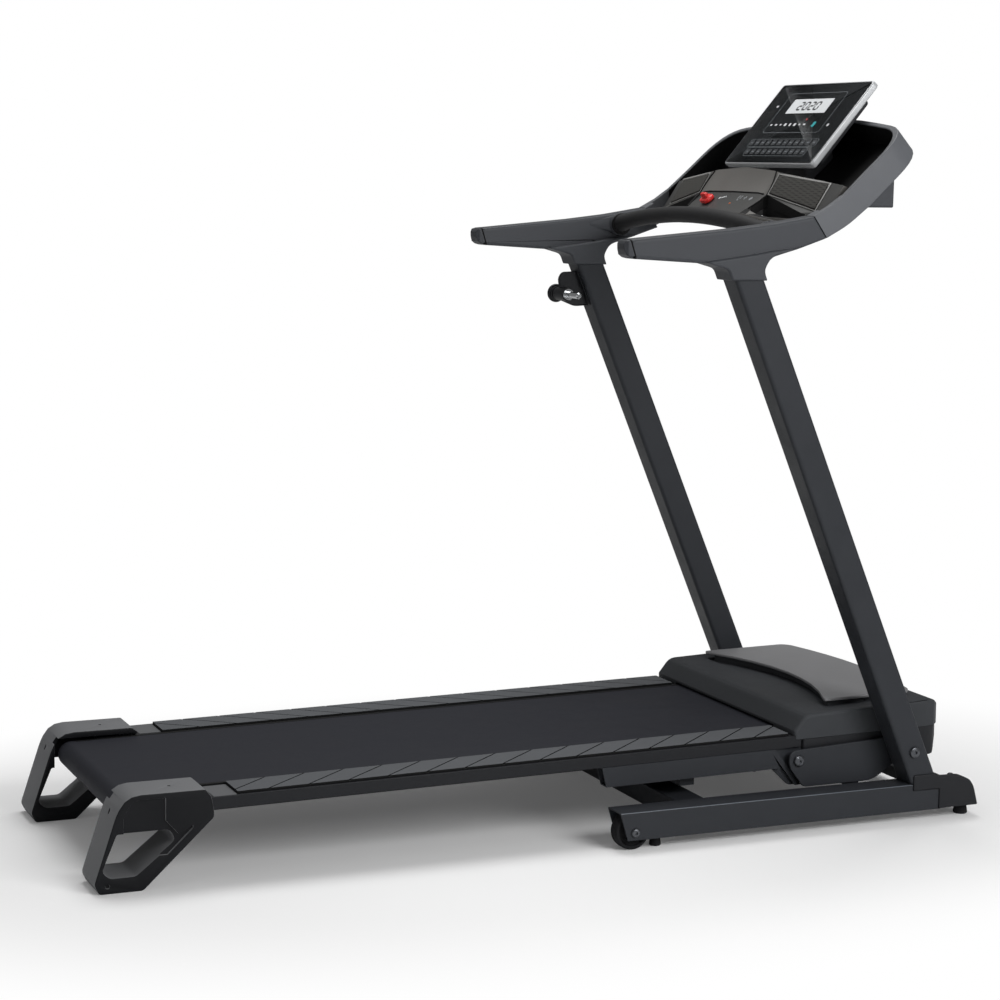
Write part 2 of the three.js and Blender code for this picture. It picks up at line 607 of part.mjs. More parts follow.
const trayUnder = trayPoint(25, -TRAY_HEIGHT);
const FLOOR_REAR = 532;
addPart(treadmill, 'console_tray', built({
  from: acrossY(outline([
    [SEAM_TOP[0] + CLEARANCE, SEAM_TOP[1]], [494, 1175], CREST, trayPoint(TRAY_LENGTH, 0),
    trayPoint(TRAY_LENGTH, -TRAY_HEIGHT), trayUnder, [532, 1139, 20],
    [SEAM_BOTTOM[0] + CLEARANCE, SEAM_BOTTOM[1]]]), -HANDLE_OUTER_Y, HANDLE_OUTER_Y),
  keep: [trayPlan(0, -120, 60)],
  cut: [
    built({
      from: trayPlan(TRAY_WALL, -TRAY_HEIGHT + TRAY_FLOOR, 60),
      keep: [block(FLOOR_REAR - 10, FAR, -FAR, FAR, 0, FAR)],
    }),
    block(SEAM_BOTTOM[0] - 7, FLOOR_REAR, -TRAY_HALF_WIDTH + TRAY_WALL, TRAY_HALF_WIDTH - TRAY_WALL, 0, FAR),
    block(SEAM_TOP[0] - 19, SEAM_BOTTOM[0] + 18, -DECK_PANEL_HALF_WIDTH - 0.5,
      DECK_PANEL_HALF_WIDTH + 0.5, 0, FAR),
  ],
}), GREY_PLASTIC);

// Beam under the tray that carries the console.
const beamTop = (x) => trayPoint(0, -TRAY_HEIGHT)[1]
  + (x - trayPoint(0, -TRAY_HEIGHT)[0]) * Math.tan(TRAY_TILT) - 0.5;
addPart(treadmill, 'console_beam', acrossY(outline([
  [BEAM_REAR, BEAM_BOTTOM, 3], [BEAM_FRONT, BEAM_BOTTOM, 3], [BEAM_FRONT, beamTop(BEAM_FRONT)],
  [BEAM_REAR, beamTop(BEAM_REAR)]]), -BEAM_HALF_WIDTH, BEAM_HALF_WIDTH, 2),
GREY_PLASTIC);

// ---------------------------------------------------------------- console deck

// Sections across the deck: lip, foot of the slope and top of the slope, as [y, lip, foot, top].
const deckSections = [
  [0, [441, 1158], [488, 1195], [512, 1243]],
  [112, [441, 1156], [488, 1194], [513, 1237]],
  [135, [442, 1154], [486, 1190], [513, 1234]],
  [298, [447, 1140], [499, 1162], [533, 1216]],
  [DECK_PANEL_HALF_WIDTH, [450, 1136], [502, 1157], [538, 1212]],
];
const deckRing = ([y, lip, foot, top], s) => [
  [lip[0] + 5, s * y, lip[1] - 13], [lip[0] - 1, s * y, lip[1] - 4], [lip[0], s * y, lip[1]],
  [foot[0], s * y, foot[1]], [top[0], s * y, top[1]], [top[0] + 9, s * y, top[1] - 3],
  [foot[0] + 14, s * y, foot[1] - 10], [foot[0] + 4, s * y, foot[1] - 22]];
const deckRings = [
  ...deckSections.slice(1).reverse().map((section) => deckRing(section, -1)),
  ...deckSections.map((section) => deckRing(section, 1))];
const pocketPlan = (s, grow) => rectangle(
  POCKET_REAR - grow, POCKET_FRONT + grow,
  ...[s * (POCKET_INNER_Y - grow), s * (POCKET_OUTER_Y + grow)].sort((a, b) => a - b), 10);
const pocketCuts = SIDES.map(([, s]) => upZ(pocketPlan(s, 0), POCKET_FLOOR, FAR));
const pocketBuckets = SIDES.map(([, s]) => upZ(
  pocketPlan(s, POCKET_WALL), POCKET_FLOOR - 3, POCKET_FLOOR + 16));

// The safety key slides into a slot square to the shelf it stands on.
const shelf = { lip: deckSections[0][1], foot: deckSections[0][2] };
const shelfAngle = Math.atan2(shelf.foot[1] - shelf.lip[1], shelf.foot[0] - shelf.lip[0]);
const KEY_SEAT = [(shelf.lip[0] + shelf.foot[0]) / 2, (shelf.lip[1] + shelf.foot[1]) / 2];
const onShelf = (geometry) => geometry.rotateY(-shelfAngle)
  .translate(KEY_SEAT[0], KEY_Y, KEY_SEAT[1]);
const keyTongue = (grow) => block(
  -2 - grow, 2 + grow, -9 - grow, 9 + grow, -8 - 2 * grow, 3);

addPart(treadmill, 'console_deck', built({
  from: loft(deckRings),
  add: pocketBuckets,
  cut: [
    ...pocketCuts,
    onShelf(keyTongue(0.4)),
    ...SIDES.map(([, s]) => block(
      0, SEAM_BOTTOM[0] + 5, s * (handleInner - CLEARANCE), s * FAR, 0, FAR)),
  ],
}), DECK_PLASTIC);
addPart(treadmill, 'safety_key', built({
  from: onShelf(upZ(outline([
    [-12, -17, 11], [12, -17, 11], [12, 17, 11], [-12, 17, 11]]), CLEARANCE + 0.5, 9, 1.5)),
  add: [onShelf(keyTongue(0)), onShelf(upZ(rectangle(-4, 4, -10, 10, 3), 6, 19, 1.5))],
}), KEY_RED);

// Speaker grilles lie on the sloping outer fields of the deck.
const mix = (a, b, t) => a.map((value, i) => value + (b[i] - value) * t);
function deckPoint(y, rise, lift) {
  const [inner, outer] = [deckSections[2], deckSections[3]];
  const t = (y - inner[0]) / (outer[0] - inner[0]);
  const foot = mix(inner[2], outer[2], t);
  const top = mix(inner[3], outer[3], t);
  const [x, z] = mix(foot, top, rise);
  const slope = Math.atan2(top[1] - foot[1], top[0] - foot[0]);
  return [x - lift * Math.sin(slope), z + lift * Math.cos(slope)];
}
for (const [side, s] of SIDES) {
  const rings = [[143, 0.1, 0.88], [292, 0.07, 0.93]].map(([y, low, high]) => [
    [low, 0.6], [high, 0.6], [high - 0.02, GRILLE_THICKNESS], [low + 0.02, GRILLE_THICKNESS],
  ].map(([rise, lift]) => {
    const [x, z] = deckPoint(y, rise, lift);
    return [x, s * y, z];
  }));
  addPart(treadmill, `speaker_grille_${side}`, loft(rings), GRILLE_CLOTH);
}

// ---------------------------------------------------------------- display

// Display pieces are drawn flat, (x across the panel's height, y its width, z out of its
// face), then tilted up to face the runner.
const tilted = (geometry) => geometry.rotateY(-DISPLAY_TILT)
  .translate(DISPLAY_X, 0, DISPLAY_Z);
const halfDisplay = DISPLAY_WIDTH / 2;
const panel = (inset, round) => rectangle(
  inset, DISPLAY_HEIGHT - inset, -halfDisplay + inset, halfDisplay - inset, round);

// A neck moulded on the housing's back reaches down to the tray's floor.
const displayPoint = (up, out) => [
  DISPLAY_X + up * Math.cos(DISPLAY_TILT) - out * Math.sin(DISPLAY_TILT),
  DISPLAY_Z + up * Math.sin(DISPLAY_TILT) + out * Math.cos(DISPLAY_TILT)];
const housingBack = -DISPLAY_THICKNESS - DISPLAY_BACK;
const neckFoot = -TRAY_HEIGHT + TRAY_FLOOR + CLEARANCE;
addPart(treadmill, 'display_housing', built({
  from: tilted(upZ(panel(0, 10), -DISPLAY_THICKNESS, 0, 2)),
  add: [
    tilted(upZ(rectangle(24, DISPLAY_HEIGHT - 42, 24 - halfDisplay, halfDisplay - 24, 12),
      housingBack, -DISPLAY_THICKNESS + 2, 3)),
    acrossY(outline([
      displayPoint(34, housingBack + 2), displayPoint(120, housingBack + 2),
      trayPoint(150, neckFoot), trayPoint(75, neckFoot)]), -70, 70),
  ],
  cut: [tilted(upZ(panel(BEZEL, 7), -FACE_THICKNESS - CLEARANCE, 5))],
}), BEZEL_SILVER);
addPart(treadmill, 'display_face', tilted(upZ(
  panel(BEZEL + CLEARANCE, 7), -FACE_THICKNESS, 0)), DISPLAY_FILM);

// ---------------------------------------------------------------- fold latch

const latchUprightX = (z) => uprightX(z) - UPRIGHT_HALF_RUN - CLEARANCE / 2;
const latchMiddle = RAIL_MIDDLE_Y;
const LATCH_PIN_TIP_Y = latchMiddle - 87.5;
addPart(treadmill, 'latch_bracket', built({
  from: acrossY(outline([
    [LATCH_X - 9, LATCH_Z + 32, 8], [LATCH_X, LATCH_Z + 45, 6], [latchUprightX(1025), 1025],
    [latchUprightX(955), 955], [LATCH_X + 28, LATCH_Z - 26, 8], [LATCH_X, LATCH_Z - 14]]),
  latchMiddle - 5, latchMiddle + 3, 1),
  add: [
    barY(LATCH_BARREL_RADIUS, LATCH_X, LATCH_Z, latchMiddle - 34.5, latchMiddle + 14.5, 20),
    acrossY(outline([
      [latchUprightX(1024) - 3, 1024], [latchUprightX(1024), 1024],
      [latchUprightX(956), 956], [latchUprightX(956) - 3, 956]]),
    latchMiddle - 16, latchMiddle + 16),
  ],
  cut: [barY(LATCH_PIN_RADIUS + BOLT_FIT, LATCH_X, LATCH_Z, 0, FAR, 20)],
}), BLACK_PLASTIC);
const knobFace = latchMiddle + 31.5;
addPart(treadmill, 'latch_plunger', turnedY([
  [0, LATCH_PIN_TIP_Y], [3.5, LATCH_PIN_TIP_Y], [LATCH_PIN_RADIUS, LATCH_PIN_TIP_Y + 6],
  [LATCH_PIN_RADIUS, knobFace - 16], [15, knobFace - 16], [15.5, knobFace - 12],
  [LATCH_KNOB_RADIUS, knobFace - 10], [LATCH_KNOB_RADIUS, knobFace - 3],
  [LATCH_KNOB_RADIUS - 3, knobFace], [0, knobFace],
], LATCH_X, LATCH_Z, 20), CHROME);

// ---------------------------------------------------------------- lift frame

const armInner = ARM_INNER_Y;
const armOuter = ARM_INNER_Y + ARM_THICKNESS;
for (const [side, s] of SIDES) {
  // Pivot bolt through upright and lift arm: the whole deck folds about it.
  addPart(treadmill, `pivot_bolt_${side}`, built({
    from: barY(PIVOT_BOLT_RADIUS, PIVOT_X, PIVOT_Z, s * (armInner - 4),
      s * (BASE_HALF_WIDTH + 1)),
    add: [barY(11, PIVOT_X, PIVOT_Z,
      s * (BASE_HALF_WIDTH + CLEARANCE), s * (BASE_HALF_WIDTH + BOLT_HEAD))],
  }), STEEL);

  const armBottom = LIFT_TUBE_Z - LIFT_TUBE_SIZE / 2 + 5;
  const arm = outline([
    [NOSE_X - NOSE_RADIUS, NOSE_Z + NOSE_RADIUS, 16],
    [PIVOT_X + NOSE_RADIUS, PIVOT_Z + NOSE_RADIUS - 2, 18],
    [PIVOT_X + NOSE_RADIUS, PIVOT_Z - NOSE_RADIUS, 18],
    [LIFT_TUBE_X + 45, armBottom, 20], [NOSE_X + 12, armBottom, 6],
    [NOSE_X - NOSE_RADIUS, NOSE_Z - NOSE_RADIUS / 2, 12]]);
  addPart(treadmill, `lift_arm_${side}`, built({
    from: acrossY(arm, s * armInner, s * armOuter, 0.8),
    cut: [
      barY(PIVOT_BOLT_RADIUS + BOLT_FIT, PIVOT_X, PIVOT_Z, s * (armInner - 14), s * (armOuter + 20)),
      barY(PIVOT_BOLT_RADIUS + BOLT_FIT, NOSE_X, NOSE_Z, s * (armInner - 14), s * (armOuter + 20)),
    ],
  }), POWDER_COAT);
  addPart(treadmill, `nose_bolt_${side}`, built({
    from: barY(PIVOT_BOLT_RADIUS, NOSE_X, NOSE_Z, s * (BAY_PLATE_Y - 4), s * (armOuter + 1)),
    add: [
      barY(11, NOSE_X, NOSE_Z, s * (armOuter + CLEARANCE), s * (armOuter + BOLT_HEAD)),
      barY(11, NOSE_X, NOSE_Z, s * (BAY_PLATE_Y + BAY_PLATE_THICKNESS + 1), s * (armInner - 1)),
    ],
  }), STEEL);
}

// Actuator geometry, shared by the lug on the lift tube and the rod that reaches for it.
const lugPoint = [LIFT_TUBE_X - LIFT_TUBE_SIZE / 2 - 12, LIFT_TUBE_Z];
const actuatorRun = [lugPoint[0] - ACTUATOR_X, lugPoint[1] - ACTUATOR_Z];
const actuatorLength = Math.hypot(...actuatorRun);
const actuatorAngle = Math.atan2(actuatorRun[1], actuatorRun[0]);
const alongActuator = (geometry) => geometry.rotateZ(-Math.PI / 2).rotateY(-actuatorAngle)
  .translate(ACTUATOR_X, 0, ACTUATOR_Z);

const tubeHalf = LIFT_TUBE_SIZE / 2;
addPart(treadmill, 'lift_cross_tube', built({
  from: alongY(rectangle(
    LIFT_TUBE_X - tubeHalf, LIFT_TUBE_X + tubeHalf, LIFT_TUBE_Z - tubeHalf,
    LIFT_TUBE_Z + tubeHalf, 4), armInner - CLEARANCE),
  add: SIDES.map(([, s]) => acrossY(outline([
    [LIFT_TUBE_X - tubeHalf + 3, LIFT_TUBE_Z + tubeHalf - 6],
    [LIFT_TUBE_X - tubeHalf + 3, LIFT_TUBE_Z - tubeHalf + 6],
    [lugPoint[0] - 3, LIFT_TUBE_Z - 9, 6], [lugPoint[0] - 3, LIFT_TUBE_Z + 9, 6]]),
  s * 13, s * 18)),
  cut: [block(
    LIFT_TUBE_X - tubeHalf + RAIL_WALL, LIFT_TUBE_X + tubeHalf - RAIL_WALL, -FAR, FAR,
    LIFT_TUBE_Z - tubeHalf + RAIL_WALL, LIFT_TUBE_Z + tubeHalf - RAIL_WALL)],
}), POWDER_COAT);

// ---------------------------------------------------------------- rear feet

// Each foot is a looped moulding: a band round the side outline, a recessed web under its
// top, and a pocket that takes the end of the side rail.
for (const [side, s] of SIDES) {
  const footSide = outline([
    [-855, 0, 5], [-864, 18, 6], [-826, 134, 10], [-808, FOOT_TOP, 26],
    [-668, FOOT_TOP, 3], [-657, FOOT_TOP - 13, 3], [-652, 128], [-652, 118, 4], [-778, 0, 5]]);
  const loop = outline([
    [-826 + 2, 103, 3], [-730, 103, 8], [-720, 84, 8], [-791, 27, 6], [-838, 27, 8], [-850, 40, 6]]);
  const [railX, railZ] = toMachine(SIDE_RAIL_REAR, SIDE_RAIL_BOTTOM);
  const railRise = 3;
  addPart(treadmill, `rear_foot_${side}`, built({
    from: acrossY(footSide, s * FOOT_INNER_Y, s * FOOT_OUTER_Y, 1.5),
    cut: [
      acrossY(loop, s * (FOOT_INNER_Y - 5), s * (FOOT_OUTER_Y + 5)),
      // room for the roller and the belt's edge behind the web
      acrossY(outline([
        [-818, 103], [-818, 128], [-806, FOOT_TOP - FOOT_WALL, 14], [railX + 1, FOOT_TOP - FOOT_WALL],
        [railX + 1, 95], [-818, 95]]), s * (FOOT_INNER_Y - 5), s * (FOOT_OUTER_Y - 12)),
      block(-818, -690, s * (FOOT_INNER_Y - 5), s * (SIDE_RAIL_INNER_Y + 11), 95, FOOT_TOP - FOOT_WALL),
      block(-700, -600, s * (FOOT_INNER_Y - 5), s * SIDE_RAIL_INNER_Y, 95, FOOT_TOP - FOOT_WALL),
      // pocket for the end of the side rail
      block(railX - 1, -600, s * (SIDE_RAIL_INNER_Y - 1), s * (SIDE_RAIL_OUTER_Y + CLEARANCE),
        railZ - CLEARANCE, railZ + SIDE_RAIL_TOP - SIDE_RAIL_BOTTOM + railRise),
      // shallow panel recess on the outer face
      acrossY(outline([
        [-812, 103], [-812, 130], [-797, FOOT_TOP - 9, 16], [-738, FOOT_TOP - 9], [-738, 120],
        [-716, 95], [-690, 108], [-690, 103], [-735, 60], [-812, 60]]),
      s * (FOOT_OUTER_Y - 5), s * (FOOT_OUTER_Y + 5)),
    ],
  }), BLACK_PLASTIC);
}

// ---------------------------------------------------------------- deck frame

const noseInDeck = toDeck(NOSE_X, NOSE_Z);

// Where the latch pin meets the side rail once the deck is folded up.
const latchReach = Math.hypot(LATCH_X - PIVOT_X, LATCH_Z - PIVOT_Z);
const catchZ = (SIDE_RAIL_BOTTOM + SIDE_RAIL_TOP) / 2;
const pivotInDeck = toDeck(PIVOT_X, PIVOT_Z);
const catchX = pivotInDeck[0] - Math.sqrt(latchReach ** 2 - (catchZ - pivotInDeck[1]) ** 2);

for (const [side, s] of SIDES) {
  // Side rail: an inverted channel that carries the foot pads; a tongue inside its rear end
  // runs on to hold the idle roller.
  const section = (inset, low) => rectangle(
    ...[s * (SIDE_RAIL_INNER_Y + inset), s * (SIDE_RAIL_OUTER_Y - inset)].sort((a, b) => a - b),
    low, SIDE_RAIL_TOP - inset);
  const tongue = outline([
    [REAR_ROLLER_X - 12, ROLLER_Z - 12, 6], [SIDE_RAIL_REAR + 35, ROLLER_Z + 3],
    [SIDE_RAIL_REAR + 35, SIDE_RAIL_TOP - 1], [SIDE_RAIL_REAR + 1, SIDE_RAIL_TOP - 1],
    [REAR_ROLLER_X - 12, ROLLER_Z + 14, 6]]);
  addPart(deck, `side_rail_${side}`, built({
    from: built({
      from: alongX(section(0, SIDE_RAIL_BOTTOM), SIDE_RAIL_REAR, SIDE_RAIL_FRONT),
      cut: [alongX(section(SIDE_RAIL_WALL, SIDE_RAIL_BOTTOM - 5),
        SIDE_RAIL_REAR - 5, SIDE_RAIL_FRONT + 5)],
    }),
    add: [acrossY(tongue, s * (SIDE_RAIL_INNER_Y + 1), s * (SIDE_RAIL_INNER_Y + 9))],
    cut: [
      barY(ROLLER_STUB_RADIUS + BOLT_FIT, REAR_ROLLER_X, ROLLER_Z,
        s * (BELT_HALF_WIDTH - 10), s * (SIDE_RAIL_INNER_Y + 30)),
      ...(s > 0 ? [barY(LATCH_PIN_RADIUS + CATCH_FIT, catchX, catchZ,
        SIDE_RAIL_OUTER_Y - 18, SIDE_RAIL_OUTER_Y + 12)] : []),
    ],
  }), BLACK_PLASTIC);

  // Foot pad: a thin mat with slanted raised tiles, a groove between each two.
  const padInner = SIDE_RAIL_INNER_Y + 1;
  const padOuter = SIDE_RAIL_OUTER_Y - 7;
  const slant = (padOuter - padInner) * PAD_SLANT;
  const tiles = [];
  for (let rear = PAD_REAR - slant; rear < PAD_FRONT; rear += PAD_PITCH) {
    tiles.push(upZ(outline([
      [rear, s * padOuter], [rear + PAD_PITCH - PAD_GROOVE, s * padOuter],
      [rear + slant + PAD_PITCH - PAD_GROOVE, s * padInner], [rear + slant, s * padInner],
    ]), SIDE_RAIL_TOP + PAD_BASE / 2, SIDE_RAIL_TOP + PAD_BASE + PAD_TILE));
  }
  addPart(deck, `foot_pad_${side}`, built({
    from: tiles[0],
    add: [...tiles.slice(1), block(PAD_REAR, PAD_FRONT, s * padInner, s * padOuter,
      SIDE_RAIL_TOP + CLEARANCE, SIDE_RAIL_TOP + PAD_BASE)],
    keep: [block(PAD_REAR, PAD_FRONT, s * padInner, s * padOuter,
      SIDE_RAIL_TOP, SIDE_RAIL_TOP + 20)],
  }), FOOT_PAD);
}

// Welded steel frame under the deck: channels, bay plates and the members between them.
const channelTop = SIDE_RAIL_BOTTOM - CLEARANCE;
const channelInner = SIDE_RAIL_OUTER_Y - CHANNEL_WIDTH;
const bayFloor = PAN_BOTTOM + PAN_WALL + 1;
const actuatorPivot = toDeck(ACTUATOR_X, ACTUATOR_Z);
const beltInner = ROLLER_RADIUS + CLEARANCE;
const boardTop = ROLLER_Z + beltInner - CLEARANCE;
const boardBottom = boardTop - BOARD_THICKNESS;
const returnRun = ROLLER_Z - beltInner - BELT_THICKNESS; // underside of the belt's lower run
const memberBottom = ROLLER_Z - beltInner + 3;
const channelSide = outline([
  [CHANNEL_REAR, channelTop], [CHANNEL_FRONT - 20, channelTop],
  [CHANNEL_FRONT, CHANNEL_BOTTOM], [CHANNEL_REAR + 9, CHANNEL_BOTTOM]]);
const baySide = outline([
  [CHANNEL_FRONT - 60, channelTop], [CHANNEL_FRONT - 60, CHANNEL_BOTTOM + 5],
  [CHANNEL_FRONT - 20, CHANNEL_BOTTOM + 5], [noseInDeck[0] - 12, noseInDeck[1] - 50, 6],
  [noseInDeck[0] + 14, noseInDeck[1] - 50, 6], [575, bayFloor, 6], [BAY_FRONT, bayFloor],
  [BAY_FRONT, HOOD_BOTTOM - 3], [SIDE_RAIL_FRONT + 3, HOOD_BOTTOM - 3],
  [SIDE_RAIL_FRONT + 3, channelTop]]);
const bayFlange = outline([
  [CHANNEL_FRONT - 22, channelTop], [CHANNEL_FRONT - 10, channelTop],
  [noseInDeck[0] + 12, noseInDeck[1] - 50], [noseInDeck[0], noseInDeck[1] - 50]]);
const frameSides = SIDES.flatMap(([, s]) => [
  built({
    from: acrossY(channelSide, s * channelInner, s * SIDE_RAIL_OUTER_Y),
    cut: [block(CHANNEL_REAR - 10, CHANNEL_FRONT - 60, s * (channelInner + RAIL_WALL),
      s * (SIDE_RAIL_OUTER_Y - RAIL_WALL), CHANNEL_BOTTOM + RAIL_WALL, channelTop - RAIL_WALL)],
  }),
  acrossY(baySide, s * BAY_PLATE_Y, s * (BAY_PLATE_Y + BAY_PLATE_THICKNESS)),
  acrossY(bayFlange, s * (BAY_PLATE_Y + 1), s * SIDE_RAIL_OUTER_Y),
]);
const actuatorLugs = SIDES.map(([, s]) => acrossY(outline([
  [ACTUATOR_X - 36, actuatorPivot[1] + 12], [ACTUATOR_X - 36, actuatorPivot[1] - 12],
  [actuatorPivot[0] + 10, actuatorPivot[1] - 10, 9],
  [actuatorPivot[0] + 10, actuatorPivot[1] + 10, 9]]), s * 24, s * 29));
const frameHoles = SIDES.flatMap(([, s]) => [
  barY(PIVOT_BOLT_RADIUS + BOLT_FIT, ...noseInDeck, s * (BAY_PLATE_Y - 16), s * (BAY_PLATE_Y + 24)),
  barY(ROLLER_STUB_RADIUS + BOLT_FIT, DRIVE_ROLLER_X, ROLLER_Z,
    s * (BAY_PLATE_Y - 16), s * (BAY_PLATE_Y + 24)),
]);
addPart(deck, 'deck_frame', built({
  from: frameSides[0],
  add: [
    ...frameSides.slice(1),
    alongX(rectangle(-channelInner - 1, channelInner + 1, memberBottom, channelTop, 0),
      CROSS_MEMBER_FRONT, CROSS_MEMBER_FRONT + CROSS_MEMBER_WIDTH),
    alongX(rectangle(-SIDE_RAIL_INNER_Y + 3, SIDE_RAIL_INNER_Y - 3, memberBottom,
      boardBottom - CLEARANCE, 0), CROSS_MEMBER_FRONT, CROSS_MEMBER_FRONT + CROSS_MEMBER_WIDTH),
    alongX(rectangle(-channelInner - 1, channelInner + 1, CHANNEL_BOTTOM - 20,
      returnRun - 4, 0), ACTUATOR_X - 64, ACTUATOR_X - 34),
    alongX(rectangle(-BAY_PLATE_Y - 1, BAY_PLATE_Y + 1, bayFloor, bayFloor + 5, 0),
      MOTOR_X - 45, MOTOR_X + 45),
    ...actuatorLugs,
  ],
  cut: [
    ...frameHoles,
    barY(TRUNNION_RADIUS + BOLT_FIT, ...actuatorPivot, -40, 40),
    block(CROSS_MEMBER_FRONT + RAIL_WALL, CROSS_MEMBER_FRONT + CROSS_MEMBER_WIDTH - RAIL_WALL,
      -SIDE_RAIL_INNER_Y, SIDE_RAIL_INNER_Y, memberBottom - 5, boardBottom - CLEARANCE - RAIL_WALL),
    block(ACTUATOR_X - 64 + RAIL_WALL, ACTUATOR_X - 34 - RAIL_WALL, -SIDE_RAIL_INNER_Y,
      SIDE_RAIL_INNER_Y, CHANNEL_BOTTOM - 30, returnRun - 4 - RAIL_WALL),
  ],
}), POWDER_COAT);

// Rear cross member: an open channel between the side rails, under the board.
addPart(deck, 'rear_cross_member', built({
  from: block(CROSS_MEMBER_REAR, CROSS_MEMBER_REAR + CROSS_MEMBER_WIDTH,
    -SIDE_RAIL_INNER_Y + CLEARANCE, SIDE_RAIL_INNER_Y - CLEARANCE,
    memberBottom, boardBottom - CLEARANCE),
  cut: [block(CROSS_MEMBER_REAR + RAIL_WALL, CROSS_MEMBER_REAR + CROSS_MEMBER_WIDTH - RAIL_WALL,
    -SIDE_RAIL_INNER_Y, SIDE_RAIL_INNER_Y, memberBottom - 5, boardBottom - CLEARANCE - RAIL_WALL)],
}), POWDER_COAT);

// ---------------------------------------------------------------- belt and rollers

addPart(deck, 'deck_board', upZ(rectangle(
  REAR_ROLLER_X + 45, DRIVE_ROLLER_X - 40, -SIDE_RAIL_INNER_Y + 0.5, SIDE_RAIL_INNER_Y - 0.5, 0),
boardBottom, boardTop, 1), BOARD_WOOD);

// The outline of a band stretched over two round ends.
function bandOutline([x1, z1, r1], [x2, z2, r2]) {
  const heading = Math.atan2(z2 - z1, x2 - x1);
  const lean = Math.acos((r1 - r2) / Math.hypot(x2 - x1, z2 - z1));
  const shape = new THREE.Shape();
  shape.absarc(x2, z2, r2, heading - lean, heading + lean, false);
  shape.absarc(x1, z1, r1, heading + lean, heading - lean + 2 * Math.PI, false);
  return shape;
}
function band(ends, thickness, y0, y1) {
  const grown = (by) => ends.map(([x, z, radius]) => [x, z, radius + by]);
  return built({
    from: acrossY(bandOutline(...grown(CLEARANCE + thickness)), y0, y1, 0, 9),
    cut: [acrossY(bandOutline(...grown(CLEARANCE)), y0 - 5, y1 + 5, 0, 9)],
  });
}
addPart(deck, 'running_belt', band([
  [REAR_ROLLER_X, ROLLER_Z, ROLLER_RADIUS], [DRIVE_ROLLER_X, ROLLER_Z, ROLLER_RADIUS],
], BELT_THICKNESS, -BELT_HALF_WIDTH, BELT_HALF_WIDTH), BELT_RUBBER);

const rollerEnd = BELT_HALF_WIDTH + 1.5;
addPart(deck, 'rear_roller', turnedY([
  [0, -SIDE_RAIL_INNER_Y - 8], [ROLLER_STUB_RADIUS, -SIDE_RAIL_INNER_Y - 8],
  [ROLLER_STUB_RADIUS, -rollerEnd], [ROLLER_RADIUS, -rollerEnd], [ROLLER_RADIUS, rollerEnd],
  [ROLLER_STUB_RADIUS, rollerEnd], [ROLLER_STUB_RADIUS, SIDE_RAIL_INNER_Y + 8],
  [0, SIDE_RAIL_INNER_Y + 8],
], REAR_ROLLER_X, ROLLER_Z, 16), STEEL);
const [pulleyLow, pulleyHigh] = [PULLEY_Y - PULLEY_WIDTH / 2, PULLEY_Y + PULLEY_WIDTH / 2];
const stubEnd = BAY_PLATE_Y + BAY_PLATE_THICKNESS + 2;
addPart(deck, 'drive_roller', turnedY([
  [0, -stubEnd], [ROLLER_STUB_RADIUS, -stubEnd], [ROLLER_STUB_RADIUS, -BAY_PLATE_Y + 2],
  [9, -BAY_PLATE_Y + 2], [9, -rollerEnd], [ROLLER_RADIUS, -rollerEnd],
  [ROLLER_RADIUS, rollerEnd], [9, rollerEnd], [9, pulleyLow],
  [DRIVE_PULLEY_RADIUS, pulleyLow], [DRIVE_PULLEY_RADIUS, pulleyHigh], [9, pulleyHigh],
  [9, BAY_PLATE_Y - 2], [ROLLER_STUB_RADIUS, BAY_PLATE_Y - 2], [ROLLER_STUB_RADIUS, stubEnd],
  [0, stubEnd],
], DRIVE_ROLLER_X, ROLLER_Z, 16), STEEL);

// ---------------------------------------------------------------- drive motor

const [motorLow, motorHigh] = MOTOR_REACH;
const MOTOR_SHAFT = 7;
addPart(deck, 'drive_motor', built({
  from: turnedY([
    [0, motorLow], [MOTOR_RADIUS - 8, motorLow], [MOTOR_RADIUS - 3, motorLow + 6],
    [MOTOR_RADIUS - 3, motorLow + 24], [MOTOR_RADIUS, motorLow + 25],
    [MOTOR_RADIUS, motorHigh - 25], [MOTOR_RADIUS - 3, motorHigh - 24],
    [MOTOR_RADIUS - 3, motorHigh - 6], [MOTOR_RADIUS - 8, motorHigh], [0, motorHigh],
  ], MOTOR_X, MOTOR_Z, 16),
  add: [block(MOTOR_X - 34, MOTOR_X + 34, motorLow + 50, motorHigh - 40,
    bayFloor + 5 + CLEARANCE, MOTOR_Z - MOTOR_RADIUS + 10)],
  cut: [barY(MOTOR_SHAFT + 0.6, MOTOR_X, MOTOR_Z, motorHigh - 60, motorHigh + 5)],
}), MOTOR_ENAMEL);
addPart(deck, 'flywheel', turnedY([
  [0, motorHigh - 55], [MOTOR_SHAFT, motorHigh - 55], [MOTOR_SHAFT, pulleyLow],
  [MOTOR_PULLEY_RADIUS, pulleyLow], [MOTOR_PULLEY_RADIUS, pulleyHigh],
  [MOTOR_SHAFT, pulleyHigh], [MOTOR_SHAFT, pulleyHigh + 6], [FLYWHEEL_RADIUS, pulleyHigh + 6],
  [FLYWHEEL_RADIUS, pulleyHigh + 22], [MOTOR_SHAFT, pulleyHigh + 22],
  [MOTOR_SHAFT, pulleyHigh + 28], [0, pulleyHigh + 28],
], MOTOR_X, MOTOR_Z, 16), STEEL);
addPart(deck, 'drive_belt', band([
  [DRIVE_ROLLER_X, ROLLER_Z, DRIVE_PULLEY_RADIUS], [MOTOR_X, MOTOR_Z, MOTOR_PULLEY_RADIUS],
], DRIVE_BELT_THICKNESS, pulleyLow + 1, pulleyHigh - 1), RUBBER);

// ---------------------------------------------------------------- motor hood

